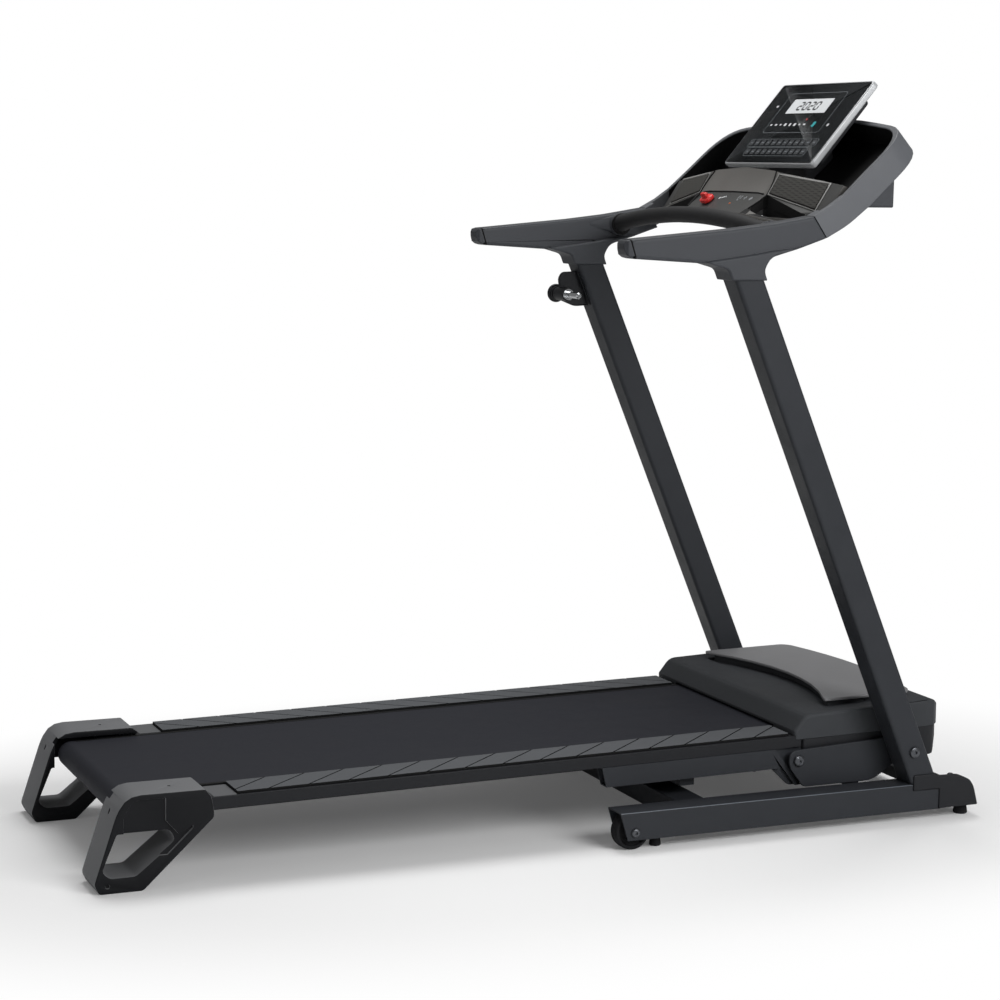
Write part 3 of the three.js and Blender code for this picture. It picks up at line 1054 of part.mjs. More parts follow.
// The hood's side view and its plan, each drawn in by `inset`.
const hoodSide = (inset) => outline([
  [HOOD_REAR + inset, 100], [HOOD_REAR + inset, 160 - inset / 2],
  [HOOD_SHOULDER[0] + inset / 2, HOOD_SHOULDER[1] - inset, 12],
  [HOOD_BROW[0], HOOD_BROW[1] - inset, 10],
  [HOOD_FRONT + HOOD_BULGE - inset, HOOD_BROW[1] - 22 - inset / 2, 18],
  [HOOD_FRONT + HOOD_BULGE - inset, 100]]);
const hoodPlan = (inset) => outline([
  [HOOD_REAR - 20, -HOOD_HALF_WIDTH + inset], [HOOD_FRONT - inset, -HOOD_HALF_WIDTH + inset, 40],
  [HOOD_FRONT + HOOD_BULGE - inset, 0, 120], [HOOD_FRONT - inset, HOOD_HALF_WIDTH - inset, 40],
  [HOOD_REAR - 20, HOOD_HALF_WIDTH - inset]]);
function platePlan(inset) {
  const half = PLATE_HALF_WIDTH - inset;
  const rear = PLATE_REAR + inset;
  const front = PLATE_FRONT - inset;
  const plan = new THREE.Shape();
  plan.moveTo(rear + 8, -half);
  plan.lineTo(front - 12, -half);
  plan.quadraticCurveTo(front + 4, -half, front + 12, -half + 22);
  plan.quadraticCurveTo(front + PLATE_BOW + 14, 0, front + 12, half - 22);
  plan.quadraticCurveTo(front + 4, half, front - 12, half);
  plan.lineTo(rear + 8, half);
  plan.quadraticCurveTo(rear - 1, half, rear + 4, half - 10);
  plan.quadraticCurveTo(rear + 2 * PLATE_SWEEP, 0, rear + 4, -half + 10);
  plan.quadraticCurveTo(rear - 1, -half, rear + 8, -half);
  return plan;
}
const plateBottom = PLATE_TOP - PLATE_THICKNESS;
const recessPlan = (inset) => rectangle(
  PLATE_REAR + 4 + inset, PLATE_REAR + PLATE_SWEEP + 40 - inset,
  -PLATE_HALF_WIDTH + 6 + inset, PLATE_HALF_WIDTH - 6 - inset);
addPart(deck, 'motor_hood', built({
  from: acrossY(hoodSide(0), -HOOD_HALF_WIDTH, HOOD_HALF_WIDTH, 6),
  add: [upZ(platePlan(14), HOOD_BOTTOM, plateBottom - CLEARANCE, 0, 6)],
  keep: [upZ(hoodPlan(0), HOOD_BOTTOM, FAR)],
  cut: [
    built({
      from: acrossY(hoodSide(HOOD_WALL), -HOOD_HALF_WIDTH + HOOD_WALL, HOOD_HALF_WIDTH - HOOD_WALL, 3),
      add: [upZ(platePlan(14 + HOOD_WALL), HOOD_BOTTOM - 5, plateBottom - HOOD_WALL, 0, 6)],
      keep: [upZ(hoodPlan(HOOD_WALL), 0, FAR)],
      cut: [upZ(recessPlan(-HOOD_WALL), RECESS_FLOOR - HOOD_WALL, FAR)],
    }),
    built({
      from: upZ(recessPlan(0), RECESS_FLOOR, FAR),
      cut: [upZ(platePlan(14), 0, FAR, 0, 6)],
    }),
    block(HOOD_REAR - 10, SIDE_RAIL_FRONT + 4, -SIDE_RAIL_OUTER_Y - 0.5,
      SIDE_RAIL_OUTER_Y + 0.5, 0, SIDE_RAIL_TOP + CLEARANCE),
    block(HOOD_REAR - 10, SIDE_RAIL_FRONT + 4, -BELT_HALF_WIDTH - 3, BELT_HALF_WIDTH + 3,
      0, SIDE_RAIL_TOP + 5),
  ],
}), BLACK_PLASTIC);
addPart(deck, 'hood_plate', upZ(platePlan(0), plateBottom, PLATE_TOP, 1, 8), SATIN_PLATE);

// Three-pin mains inlet: a block with a chamfered socket, let into the pan's front wall.
const inletFace = PAN_FRONT + 1;
const inletVolume = (grow) => block(inletFace - INLET_DEPTH - grow, inletFace + grow,
  INLET_Y - INLET_WIDTH / 2 - grow, INLET_Y + INLET_WIDTH / 2 + grow,
  INLET_Z - INLET_HEIGHT / 2 - grow, INLET_Z + INLET_HEIGHT / 2 + grow);
const socketFloor = inletFace - SOCKET_DEPTH;
addPart(deck, 'power_inlet', built({
  from: built({
    from: inletVolume(0),
    cut: [alongX(outline([
      [INLET_Y - SOCKET_HALF_WIDTH, INLET_Z - SOCKET_HALF_HEIGHT],
      [INLET_Y + SOCKET_HALF_WIDTH, INLET_Z - SOCKET_HALF_HEIGHT],
      [INLET_Y + SOCKET_HALF_WIDTH, INLET_Z + SOCKET_HALF_HEIGHT / 3],
      [INLET_Y + SOCKET_HALF_WIDTH / 2, INLET_Z + SOCKET_HALF_HEIGHT],
      [INLET_Y - SOCKET_HALF_WIDTH / 2, INLET_Z + SOCKET_HALF_HEIGHT],
      [INLET_Y - SOCKET_HALF_WIDTH, INLET_Z + SOCKET_HALF_HEIGHT / 3],
    ]), socketFloor, inletFace + 5)],
  }),
  add: [-7, 0, 7].map((across) => block(socketFloor - 1, socketFloor + SOCKET_DEPTH * 0.6,
    INLET_Y + across - 1, INLET_Y + across + 1, INLET_Z - 2, INLET_Z + 2)),
}), BLACK_PLASTIC);

// Tray-shaped pan that closes the bay from below.
const panSide = (inset) => outline([
  [PAN_REAR + inset, 200], [PAN_REAR + inset, PAN_BOTTOM + inset, 6],
  [PAN_FRONT - 12 - inset, PAN_BOTTOM + inset, 10], [PAN_FRONT - 2 - inset, PAN_BOTTOM + 34],
  [PAN_FRONT - inset, 200]]);
addPart(deck, 'belly_pan', built({
  from: acrossY(panSide(0), -SIDE_RAIL_OUTER_Y, SIDE_RAIL_OUTER_Y, 3),
  keep: [
    block(0, FAR, -FAR, FAR, 0, HOOD_BOTTOM - CLEARANCE),
    upZ(hoodPlan(HOOD_OVERHANG), 0, FAR),
  ],
  cut: [
    built({
      from: acrossY(panSide(PAN_WALL), -SIDE_RAIL_OUTER_Y + PAN_WALL, SIDE_RAIL_OUTER_Y - PAN_WALL),
      keep: [upZ(hoodPlan(HOOD_OVERHANG + PAN_WALL), 0, FAR)],
    }),
    inletVolume(CLEARANCE),
    block(PAN_REAR - 5, PAN_REAR + 10, -SIDE_RAIL_INNER_Y - 1, SIDE_RAIL_INNER_Y + 1, 98, 200),
    ...SIDES.map(([, s]) => block(
      PAN_REAR - 5, 580, s * (BAY_PLATE_Y - 1), s * (BAY_PLATE_Y + BAY_PLATE_THICKNESS + 1), 50, 200)),
  ],
}), BLACK_PLASTIC);

// ---------------------------------------------------------------- incline actuator

// Drawn along Z from its trunnion, then laid towards the lift tube's lugs.
const rodEye = actuatorLength - 1;
addPart(treadmill, 'incline_motor', built({
  from: alongActuator(new THREE.CylinderGeometry(
    ACTUATOR_RADIUS, ACTUATOR_RADIUS, ACTUATOR_TUBE_LENGTH, 20)
    .translate(0, ACTUATOR_TUBE_LENGTH / 2 + 14, 0)),
  add: [
    alongActuator(block(-9, 9, -9, 30, -20, 20)),
    barY(TRUNNION_RADIUS, ACTUATOR_X, ACTUATOR_Z, -30, 30),
  ],
  cut: [alongActuator(new THREE.CylinderGeometry(
    ACTUATOR_ROD_RADIUS + 0.5, ACTUATOR_ROD_RADIUS + 0.5, ACTUATOR_TUBE_LENGTH + 50, 20)
    .translate(0, ACTUATOR_TUBE_LENGTH / 2 + 60, 0))],
}), MOTOR_ENAMEL);
addPart(treadmill, 'incline_rod', built({
  from: alongActuator(new THREE.CylinderGeometry(
    ACTUATOR_ROD_RADIUS, ACTUATOR_ROD_RADIUS, rodEye - ROD_REAR - 6, 20)
    .translate(0, (rodEye + ROD_REAR - 6) / 2, 0)),
  add: [alongActuator(block(-7, 7, rodEye - 26, rodEye, -12, 12))],
}), STEEL);

export default treadmill;
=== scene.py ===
import math

import bpy
from mathutils import Matrix, Vector


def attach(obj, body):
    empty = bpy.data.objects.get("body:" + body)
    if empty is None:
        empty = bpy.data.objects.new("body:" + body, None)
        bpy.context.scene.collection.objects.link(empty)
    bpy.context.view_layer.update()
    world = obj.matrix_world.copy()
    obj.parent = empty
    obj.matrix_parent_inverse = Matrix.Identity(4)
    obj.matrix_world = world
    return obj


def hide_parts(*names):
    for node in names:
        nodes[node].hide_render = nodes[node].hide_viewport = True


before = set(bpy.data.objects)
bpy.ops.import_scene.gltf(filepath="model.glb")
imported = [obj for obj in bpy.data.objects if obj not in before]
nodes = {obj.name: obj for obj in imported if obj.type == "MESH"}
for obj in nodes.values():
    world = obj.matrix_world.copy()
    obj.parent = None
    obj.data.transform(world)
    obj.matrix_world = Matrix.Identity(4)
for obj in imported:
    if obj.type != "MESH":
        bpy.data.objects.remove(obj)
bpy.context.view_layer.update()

# ---------------------------------------- camera, studio and floor
# The machine stands on a white studio floor under three large soft lamps. It is seen from its
# right-hand side, slightly above the handles, through a long lens. The floor keeps a soft
# shadow close to the machine and turns into the white of the backdrop further out.
camera_data = bpy.data.cameras.new("camera")
camera_data.lens = 87.97
camera_data.sensor_width = 36
camera_data.clip_end = 60
camera = bpy.data.objects.new("camera", camera_data)
bpy.context.scene.collection.objects.link(camera)
yaw, pitch, roll = (math.radians(a) for a in (-23.203, -7.845, 0.85))
camera.matrix_world = (
    Matrix.Translation((-1.82284, -4.25316, 1.24333))
    @ Matrix.Rotation(yaw, 4, "Z")
    @ Matrix.Rotation(math.pi / 2 + pitch, 4, "X")
    @ Matrix.Rotation(roll, 4, "Z")
)
bpy.context.scene.camera = camera
bpy.context.scene.view_settings.view_transform = "Standard"


def softbox(name, place, target, size, power):
    """A large soft lamp at `place`, turned towards `target`."""
    lamp = bpy.data.lights.new(name, "AREA")
    lamp.shape = "RECTANGLE"
    lamp.size, lamp.size_y = size
    lamp.energy = power
    holder = bpy.data.objects.new(name, lamp)
    bpy.context.scene.collection.objects.link(holder)
    aim = Vector(target) - Vector(place)
    holder.matrix_world = (
        Matrix.Translation(place) @ aim.to_track_quat("-Z", "Y").to_matrix().to_4x4()
    )


softbox("side_lamp", (1.3, -3.4, 2.3), (0.3, 0, 0.9), (2.2, 1.7), 100)
softbox("rear_lamp", (-3.4, -1.0, 1.2), (-0.8, 0, 0.1), (1.4, 1.0), 4)
softbox("top_lamp", (0.3, 0.9, 3.6), (0, 0.1, 0.3), (2.3, 1.7), 68)


def seen_directly(tree):
    """1 for rays from the camera and 0 for all the others."""
    return tree.nodes.new("ShaderNodeLightPath").outputs["Is Camera Ray"]


def add_node(tree, kind, **values):
    """A new shader node with its inputs set; a name's spaces are written as underscores."""
    node = tree.nodes.new("ShaderNode" + kind)
    for name, value in values.items():
        node.inputs[name.replace("_", " ")].default_value = value
    return node


AMBIENT = 0.22  # strength of the backdrop as a light; it is seen at 1, as white
world = bpy.data.worlds.new("studio")
bpy.context.scene.world = world
world.use_nodes = True
tree = world.node_tree
backdrop = tree.nodes["Background"]
backdrop.inputs["Color"].default_value = (1, 1, 1, 1)
strength = add_node(tree, "MapRange", To_Min=AMBIENT, To_Max=1.0)
tree.links.new(seen_directly(tree), strength.inputs["Value"])
tree.links.new(strength.outputs["Result"], backdrop.inputs["Strength"])

GROUND_GLOW = 0.08  # light that the paper gives off towards the camera, so its shadow stays soft
GROUND_SHAPE = (0.8, 1.25, 0)  # draws the patch of shadow out along the machine
SHADOW_REACH = 0.78  # within this distance of the origin the floor shows its shadow in full
WHITE_FROM = 1.35  # from here on it is as white as the backdrop
bpy.ops.object.select_all(action="DESELECT")
bpy.ops.mesh.primitive_plane_add(size=30, location=(0, 0, 0))
floor = bpy.context.active_object
floor.name = "floor"
ground = bpy.data.materials.new("studio floor")
ground.use_nodes = True
tree = ground.node_tree
link = tree.links.new
paper = tree.nodes["Principled BSDF"]
paper.inputs["Base Color"].default_value = (0.9, 0.9, 0.9, 1)
paper.inputs["Roughness"].default_value = 0.7
paper.inputs["Specular IOR Level"].default_value = 0.1
glow = add_node(tree, "Emission", Color=(1, 1, 1, 1), Strength=GROUND_GLOW)
lifted = add_node(tree, "AddShader")
link(paper.outputs["BSDF"], lifted.inputs[0])
link(glow.outputs["Emission"], lifted.inputs[1])
white = add_node(tree, "Emission", Color=(1, 1, 1, 1))
stretch = add_node(tree, "Mapping", Scale=GROUND_SHAPE)
link(add_node(tree, "TexCoord").outputs["Object"], stretch.inputs["Vector"])
distance = add_node(tree, "VectorMath")
distance.operation = "LENGTH"
link(stretch.outputs["Vector"], distance.inputs[0])
fade = add_node(tree, "MapRange", From_Min=SHADOW_REACH, From_Max=WHITE_FROM)
fade.interpolation_type = "SMOOTHSTEP"
link(distance.outputs["Value"], fade.inputs["Value"])
to_white = add_node(tree, "MixShader")
link(fade.outputs["Result"], to_white.inputs["Fac"])
link(lifted.outputs["Shader"], to_white.inputs[1])
link(white.outputs["Emission"], to_white.inputs[2])
by_ray = add_node(tree, "MixShader")
link(seen_directly(tree), by_ray.inputs["Fac"])
link(paper.outputs["BSDF"], by_ray.inputs[1])
link(to_white.outputs["Shader"], by_ray.inputs[2])
link(by_ray.outputs["Shader"], tree.nodes["Material Output"].inputs["Surface"])
floor.data.materials.append(ground)


# ---------------------------------------- base rails and crossbars
# Two rectangular steel tubes lie on the floor under the uprights, tied by two cross tubes.
# They are welded mild steel with a charcoal powder coat, whose skin is finely pebbled. A lighter
# colour on the rolled upper edges is a painted highlight.
SIDES = (("right", -1), ("left", 1))


def paint(code):
    """Linear colour of a #rrggbb paint code."""
    parts = [int(code[i : i + 2], 16) / 255 for i in (1, 3, 5)]
    return [p / 12.92 if p <= 0.04045 else ((p + 0.055) / 1.055) ** 2.4 for p in parts] + [1]


def surface(
        name, code, roughness, grain, grain_width=0.002, specular=0.3, metallic=0.0, mottle=0.1):
    """A coated or moulded skin: a slightly cloudy colour, uneven gloss and a fine grain."""
    skin = bpy.data.materials.new(name)
    skin.use_nodes = True
    tree = skin.node_tree
    link = tree.links.new
    shader = tree.nodes["Principled BSDF"]
    shader.inputs["Specular IOR Level"].default_value = specular
    shader.inputs["Metallic"].default_value = metallic
    place = add_node(tree, "TexCoord")
    cloud = add_node(tree, "TexNoise", Scale=14, Detail=5)
    link(place.outputs["Object"], cloud.inputs["Vector"])
    tint = add_node(tree, "Mix")
    tint.name = "tint"
    tint.data_type = "RGBA"
    colour = paint(code)
    tint.inputs["A"].default_value = [c * (1 - mottle) for c in colour[:3]] + [1]
    tint.inputs["B"].default_value = [min(c * (1 + mottle), 1) for c in colour[:3]] + [1]
    link(cloud.outputs["Fac"], tint.inputs["Factor"])
    link(tint.outputs["Result"], shader.inputs["Base Color"])
    gloss = add_node(
        tree, "MapRange", From_Min=0.3, From_Max=0.7,
        To_Min=roughness - 0.05, To_Max=roughness + 0.05)
    link(cloud.outputs["Fac"], gloss.inputs["Value"])
    link(gloss.outputs["Result"], shader.inputs["Roughness"])
    pebble = add_node(tree, "TexNoise", Scale=1 / grain_width, Detail=3)
    link(place.outputs["Object"], pebble.inputs["Vector"])
    relief = add_node(tree, "Bump", Strength=grain, Distance=grain_width * 0.4)
    link(pebble.outputs["Fac"], relief.inputs["Height"])
    link(relief.outputs["Normal"], shader.inputs["Normal"])
    return skin


def pick(piece):
    """Makes one object the only selected one, and the active one."""
    bpy.ops.object.select_all(action="DESELECT")
    piece.select_set(True)
    bpy.context.view_layer.objects.active = piece


def rounded(piece, radius, steps=2, corner=32, even=True):
    """Rounds every edge that turns by more than `corner` degrees, and keeps the flats flat."""
    pick(piece)
    if radius:
        bevel = piece.modifiers.new("rounding", "BEVEL")
        bevel.width = radius
        bevel.segments = steps
        bevel.limit_method = "ANGLE"
        bevel.angle_limit = math.radians(corner)
        bevel.use_clamp_overlap = False
        bpy.ops.object.modifier_apply(modifier=bevel.name)
    bpy.ops.object.shade_smooth_by_angle(angle=math.radians(42), keep_sharp_edges=False)
    if even:
        flats = piece.modifiers.new("flat faces", "WEIGHTED_NORMAL")
        flats.weight = 100
        flats.keep_sharp = True
        bpy.ops.object.modifier_apply(modifier=flats.name)
    return piece


def merged_copy(node, name):
    """The solid of a frame node as one closed mesh of whole faces."""
    piece = bpy.data.objects.new(name, nodes[node].data.copy())
    piece.data.materials.clear()
    bpy.context.scene.collection.objects.link(piece)
    pick(piece)
    bpy.ops.mesh.customdata_custom_splitnormals_clear()
    bpy.ops.object.mode_set(mode="EDIT")
    bpy.ops.mesh.select_all(action="SELECT")
    bpy.ops.mesh.remove_doubles(threshold=0.00002)
    bpy.ops.mesh.dissolve_limited(angle_limit=math.radians(0.6))
    bpy.ops.object.mode_set(mode="OBJECT")
    return piece


def softened(node, name, skin, radius=0.001, steps=2, corner=32):
    """The solid of a frame node with its edges rounded, in its own finish."""
    piece = rounded(merged_copy(node, name), radius, steps, corner)
    piece.data.materials.append(skin)
    return piece


def clad(piece, skin, belongs):
    """Gives another finish to the faces whose middle and normal pass the test."""
    piece.data.materials.append(skin)
    index = len(piece.data.materials) - 1
    for face in piece.data.polygons:
        if belongs(face.center, face.normal):
            face.material_index = index


powder_coat = surface("charcoal powder coat", "#2e3034", 0.46, 0.25, 0.0016, specular=0.2)
painted_edge_highlight = surface("sheen of the rolled edges", "#5b6169", 0.35, 0.1, specular=0.5)

for side, s in SIDES:
    rail = softened(f"base_rail_{side}", f"rail_tube_{side}", powder_coat, 0.0018, 3)
    # the rolled upper edges take a lighter colour: a painted highlight
    clad(rail, painted_edge_highlight, lambda m, n: n.z > 0.25 and abs(n.y) > 0.25 and abs(n.x) < 0.2)
    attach(rail, "base")
    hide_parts(f"base_rail_{side}")
for end in ("rear", "front"):
    crossbar = softened(f"base_{end}_crossbar", f"cross_tube_{end}", powder_coat, 0.0008)
    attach(crossbar, "base")
    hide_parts(f"base_{end}_crossbar")


# ---------------------------------------- rubber feet
# The base rests on four small turned rubber feet: two under the front caps and two pads behind
# the wheels. They are moulded black rubber, pushed into holes in the tubes and caps.
def turned(name, stations, centre, axis="Y", sides=48):
    """A solid turned about an axis: a disc that is drawn out and scaled from one
    (radius, place along the axis) station to the next."""
    across = axis == "Y"
    lies = (math.pi / 2, 0, 0) if across else (0, 0, 0)
    radius, along = stations[0]
    middle = Vector((centre[0], along, centre[1]) if across else (centre[0], centre[1], along))
    bpy.ops.object.select_all(action="DESELECT")
    bpy.ops.mesh.primitive_circle_add(
        vertices=sides, radius=radius, fill_type="NGON", location=middle, rotation=lies)
    piece = bpy.context.active_object
    piece.name = name
    bpy.ops.object.transform_apply(location=True, rotation=True, scale=True)
    bpy.ops.object.mode_set(mode="EDIT")
    bpy.ops.mesh.select_all(action="SELECT")
    for next_radius, next_along in stations[1:]:
        bpy.ops.mesh.extrude_region_move()
        step = next_along - along
        move = Vector((0, step, 0) if across else (0, 0, step))
        bpy.ops.transform.translate(value=move)
        middle = middle + move
        k = next_radius / radius
        bpy.ops.transform.resize(
            value=(k, 1, k) if across else (k, k, 1), center_override=middle)
        radius, along = next_radius, next_along
    bpy.ops.mesh.select_all(action="SELECT")
    bpy.ops.mesh.remove_doubles(threshold=0.000005)
    bpy.ops.mesh.normals_make_consistent(inside=False)
    bpy.ops.object.mode_set(mode="OBJECT")
    return piece


RAIL_MIDDLE_Y = 0.3375
FEET = (  # name, node, place along the base, and the turned outline
    ("rubber_foot", "front_foot", 0.843, [
        (0.0125, 0.0002), (0.0137, 0.002), (0.014, 0.004), (0.0125, 0.013), (0.011, 0.0217)]),
    ("rubber_pad", "rear_pad", 0.177, [
        (0.0098, 0.0002), (0.0108, 0.0015), (0.011, 0.003), (0.0092, 0.0197)]),
)
rubber = surface("moulded black rubber", "#1b1b1d", 0.75, 0.3, 0.0012, specular=0.15)

for side, s in SIDES:
    for name, node, x, outline in FEET:
        foot = rounded(turned(f"{name}_{side}", outline, (x, s * RAIL_MIDDLE_Y), "Z"), 0.0008)
        foot.data.materials.append(rubber)
        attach(foot, "base")
        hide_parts(f"{node}_{side}")

# ---------------------------------------- base end caps
# A moulded cap closes the front of each base rail and wraps the foot of its upright. It is
# black ABS with a stepped nose, held by one screw through its top.
black_plastic = surface("moulded black plastic", "#202124", 0.5, 0.3, 0.0014, specular=0.22)
CAP_SCREW = (0.817, 0.338, 0.0780)  # middle of its seat, on the left side


def socket_screw(name, stations, centre, axis, key, depth, sides=32):
    """A button-head screw: a turned dome with a hexagon socket sunk into its crown, `key` from
    its middle to a corner and `depth` deep."""
    piece = turned(name, stations, centre, axis, sides)
    rounded(piece, 0.0004, 2, 40)
    across = axis == "Y"
    crown = stations[-1][1]
    middle = (centre[0], crown, centre[1]) if across else (centre[0], centre[1], crown)
    bpy.ops.object.select_all(action="DESELECT")
    bpy.ops.mesh.primitive_cylinder_add(
        vertices=6, radius=key, depth=2 * depth, location=middle,
        rotation=(math.pi / 2, 0, 0) if across else (0, 0, 0))
    drill = bpy.context.active_object
    sunk = piece.modifiers.new("socket", "BOOLEAN")
    sunk.operation = "DIFFERENCE"
    sunk.object = drill
    sunk.solver = "EXACT"
    pick(piece)
    bpy.ops.object.modifier_apply(modifier=sunk.name)
    bpy.data.objects.remove(drill)
    bpy.ops.object.shade_smooth_by_angle(angle=math.radians(30), keep_sharp_edges=False)
    return piece


zinc = surface("blackened zinc plate", "#5a5c60", 0.34, 0.1, specular=0.5, metallic=0.9)

for side, s in SIDES:
    cap = softened(f"base_end_cap_{side}", f"nose_cap_{side}", black_plastic, 0.0014, 3)
    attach(cap, "base")
    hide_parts(f"base_end_cap_{side}")
    x, y, z = CAP_SCREW
    screw = socket_screw(f"cap_screw_{side}", [
        (0.006, z - 0.002), (0.006, z + 0.0018), (0.0045, z + 0.0032), (0.003, z + 0.0038),
    ], (x, s * y), "Z", 0.0019, 0.002)
    screw.data.materials.append(zinc)
    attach(screw, "base")

# ---------------------------------------- transport wheels
# A rubber-tyred wheel runs in the open rear end of each rail, on a button-head bolt that goes
# through both walls of the tube. The hub is moulded in one with a dished web.
def edit_parts(piece, kind, belongs):
    """Enters edit mode with only those faces or corners selected that pass the test."""
    pick(piece)
    bpy.ops.object.mode_set(mode="EDIT")
    bpy.ops.mesh.select_mode(type=kind)
    bpy.ops.mesh.select_all(action="DESELECT")
    bpy.ops.object.mode_set(mode="OBJECT")
    for part in {"FACE": piece.data.polygons, "VERT": piece.data.vertices}[kind]:
        part.select = belongs(part)
    bpy.ops.object.mode_set(mode="EDIT")


WHEEL = (0.123, 0.035)  # axle, as (x, z)
WHEEL_Y = 0.3425
WHEEL_HALF = 0.013
WHEEL_SIDES = 64

for side, s in SIDES:
    low, high = s * WHEEL_Y - WHEEL_HALF, s * WHEEL_Y + WHEEL_HALF
    wheel = turned(f"tyre_and_hub_{side}", [
        (0.0053, low), (0.0145, low), (0.0165, low + 0.005), (0.0265, low + 0.005),
        (0.0285, low), (0.0322, low), (0.0345, low + 0.0028), (0.035, low + 0.006),
        (0.035, s * WHEEL_Y - 0.0012), (0.0342, s * WHEEL_Y), (0.035, s * WHEEL_Y + 0.0012),
        (0.035, high - 0.006), (0.0345, high - 0.0028), (0.0322, high), (0.0285, high),
        (0.0265, high - 0.005), (0.0165, high - 0.005), (0.0145, high), (0.0053, high),
    ], WHEEL, "Y", WHEEL_SIDES)
    edit_parts(wheel, "FACE", lambda face: len(face.vertices) == WHEEL_SIDES)
    bpy.ops.mesh.bridge_edge_loops()
    bpy.ops.mesh.select_all(action="SELECT")
    bpy.ops.mesh.normals_make_consistent(inside=False)
    bpy.ops.object.mode_set(mode="OBJECT")
    rounded(wheel, 0.0005, 2, 40)
    wheel.data.materials.append(rubber)
    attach(wheel, f"wheel_{side}")
    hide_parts(f"transport_wheel_{side}")
    wall, head = s * 0.306, s * 0.3653
    bolt = socket_screw(f"wheel_bolt_{side}", [
        (0.005, wall), (0.005, head), (0.0085, head), (0.0085, head + s * 0.0012),
        (0.0074, head + s * 0.0033), (0.0055, head + s * 0.0045),
    ], WHEEL, "Y", 0.0032, 0.003)
    bolt.data.materials.append(zinc)
    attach(bolt, "base")
    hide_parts(f"wheel_axle_{side}")

# ---------------------------------------- uprights
# Two rectangular steel tubes lean back from the base to the handles. They are powder-coated
# like the base, with rounded long corners and the fold pivot's hole near the foot.
for side, s in SIDES:
    upright = softened(f"upright_{side}", f"upright_tube_{side}", powder_coat, 0.0012, 2, 35)
    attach(upright, "base")
    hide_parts(f"upright_{side}")

# ---------------------------------------- handles
# Each handle is a hollow moulding, painted cool grey, with a collar that slips over the top of
# the upright. A separate end cap closes its rear end along a slanted joint.
grey_plastic = surface("cool grey soft-touch paint", "#3e4044", 0.5, 0.18, 0.0013, specular=0.22)
# The same black is painted shade in the foot pads' grooves and in the rear feet's holes.
joint_black_and_painted_shade = surface("black joint", "#0d0d0e", 0.6, 0.1, specular=0.2)
TIP_JOINT = ((0.089, 1.114), (1, 0.3))  # a point of the joint with the end cap, and its normal
TRAY_JOINT = ((0.459, 1.156), (0.040, 0.028))  # the same for the joint with the tray


def at_joint(middle, normal):
    """True on the rounded edges and end faces that meet at a shell's two slanted joints."""
    from_tip, from_tray = (
        ((middle.x - x) * across + (middle.z - z) * along) / math.hypot(across, along)
        for (x, z), (across, along) in (TIP_JOINT, TRAY_JOINT))
    return abs(from_tip) < 0.0013 or abs(from_tray) < 0.0011


for side, s in SIDES:
    for node, name in (("handle", "handle_shell"), ("handle_end_cap", "handle_tip")):
        shell = softened(f"{node}_{side}", f"{name}_{side}", grey_plastic, 0.0013, 2, 18)
        clad(shell, joint_black_and_painted_shade, at_joint)
        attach(shell, "base")
        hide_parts(f"{node}_{side}")


# ---------------------------------------- grip bar
# A crowned steel bar joins the handles. It wears a grained foam-rubber sleeve, which swells into
# a cuff at each end. There it sits in a black seat, and a moulded fairing runs from the seat
# back into the handle.
def swept(name, points, radii, sides=8, cyclic=False):
    """A round bar or bead along points, with its radius at each, as one closed mesh."""
    path = bpy.data.curves.new(name, "CURVE")
    path.dimensions = "3D"
    spline = path.splines.new("POLY")
    spline.points.add(len(points) - 1)
    for spot, place, radius in zip(spline.points, points, radii):
        spot.co = (*place, 1)
        spot.radius = radius
    spline.use_cyclic_u = cyclic
    path.bevel_depth = 1
    path.bevel_resolution = max(sides // 4 - 1, 0)
    path.use_fill_caps = not cyclic
    bar = bpy.data.objects.new(name, path)
    bpy.context.scene.collection.objects.link(bar)
    pick(bar)
    bpy.ops.object.convert(target="MESH")
    bar = bpy.context.active_object
    bpy.ops.object.mode_set(mode="EDIT")
    bpy.ops.mesh.select_all(action="SELECT")
    bpy.ops.mesh.remove_doubles(threshold=0.00001)
    bpy.ops.mesh.normals_make_consistent(inside=False)
    bpy.ops.object.mode_set(mode="OBJECT")
    bpy.ops.object.shade_smooth_by_angle(angle=math.radians(40), keep_sharp_edges=False)
    return bar


GRIP_HALF = 0.3187
GRIP_X, GRIP_Z, GRIP_CROWN = 0.394, 1.150, 0.027
GRIP_RADIUS = 0.016
CUFF, CUFF_SWELL = 0.050, 0.004
GRIP_STEPS = 44
grip_rubber = surface("ribbed grip rubber", "#29292a", 0.68, 0.55, 0.0024, specular=0.2)
bar_points, bar_radii = [], []
for i in range(GRIP_STEPS + 1):
    y = -GRIP_HALF + 2 * GRIP_HALF * i / GRIP_STEPS
    cuff = max(0.0, abs(y) - GRIP_HALF + CUFF) / CUFF
    bar_points.append((GRIP_X, y, GRIP_Z - GRIP_CROWN * (y / GRIP_HALF) ** 2))
    bar_radii.append(GRIP_RADIUS + CUFF_SWELL * cuff**2)
grip = swept("grip_sleeve", bar_points, bar_radii, 40)
grip.data.materials.append(grip_rubber)
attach(grip, "base")
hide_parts("grip_bar")

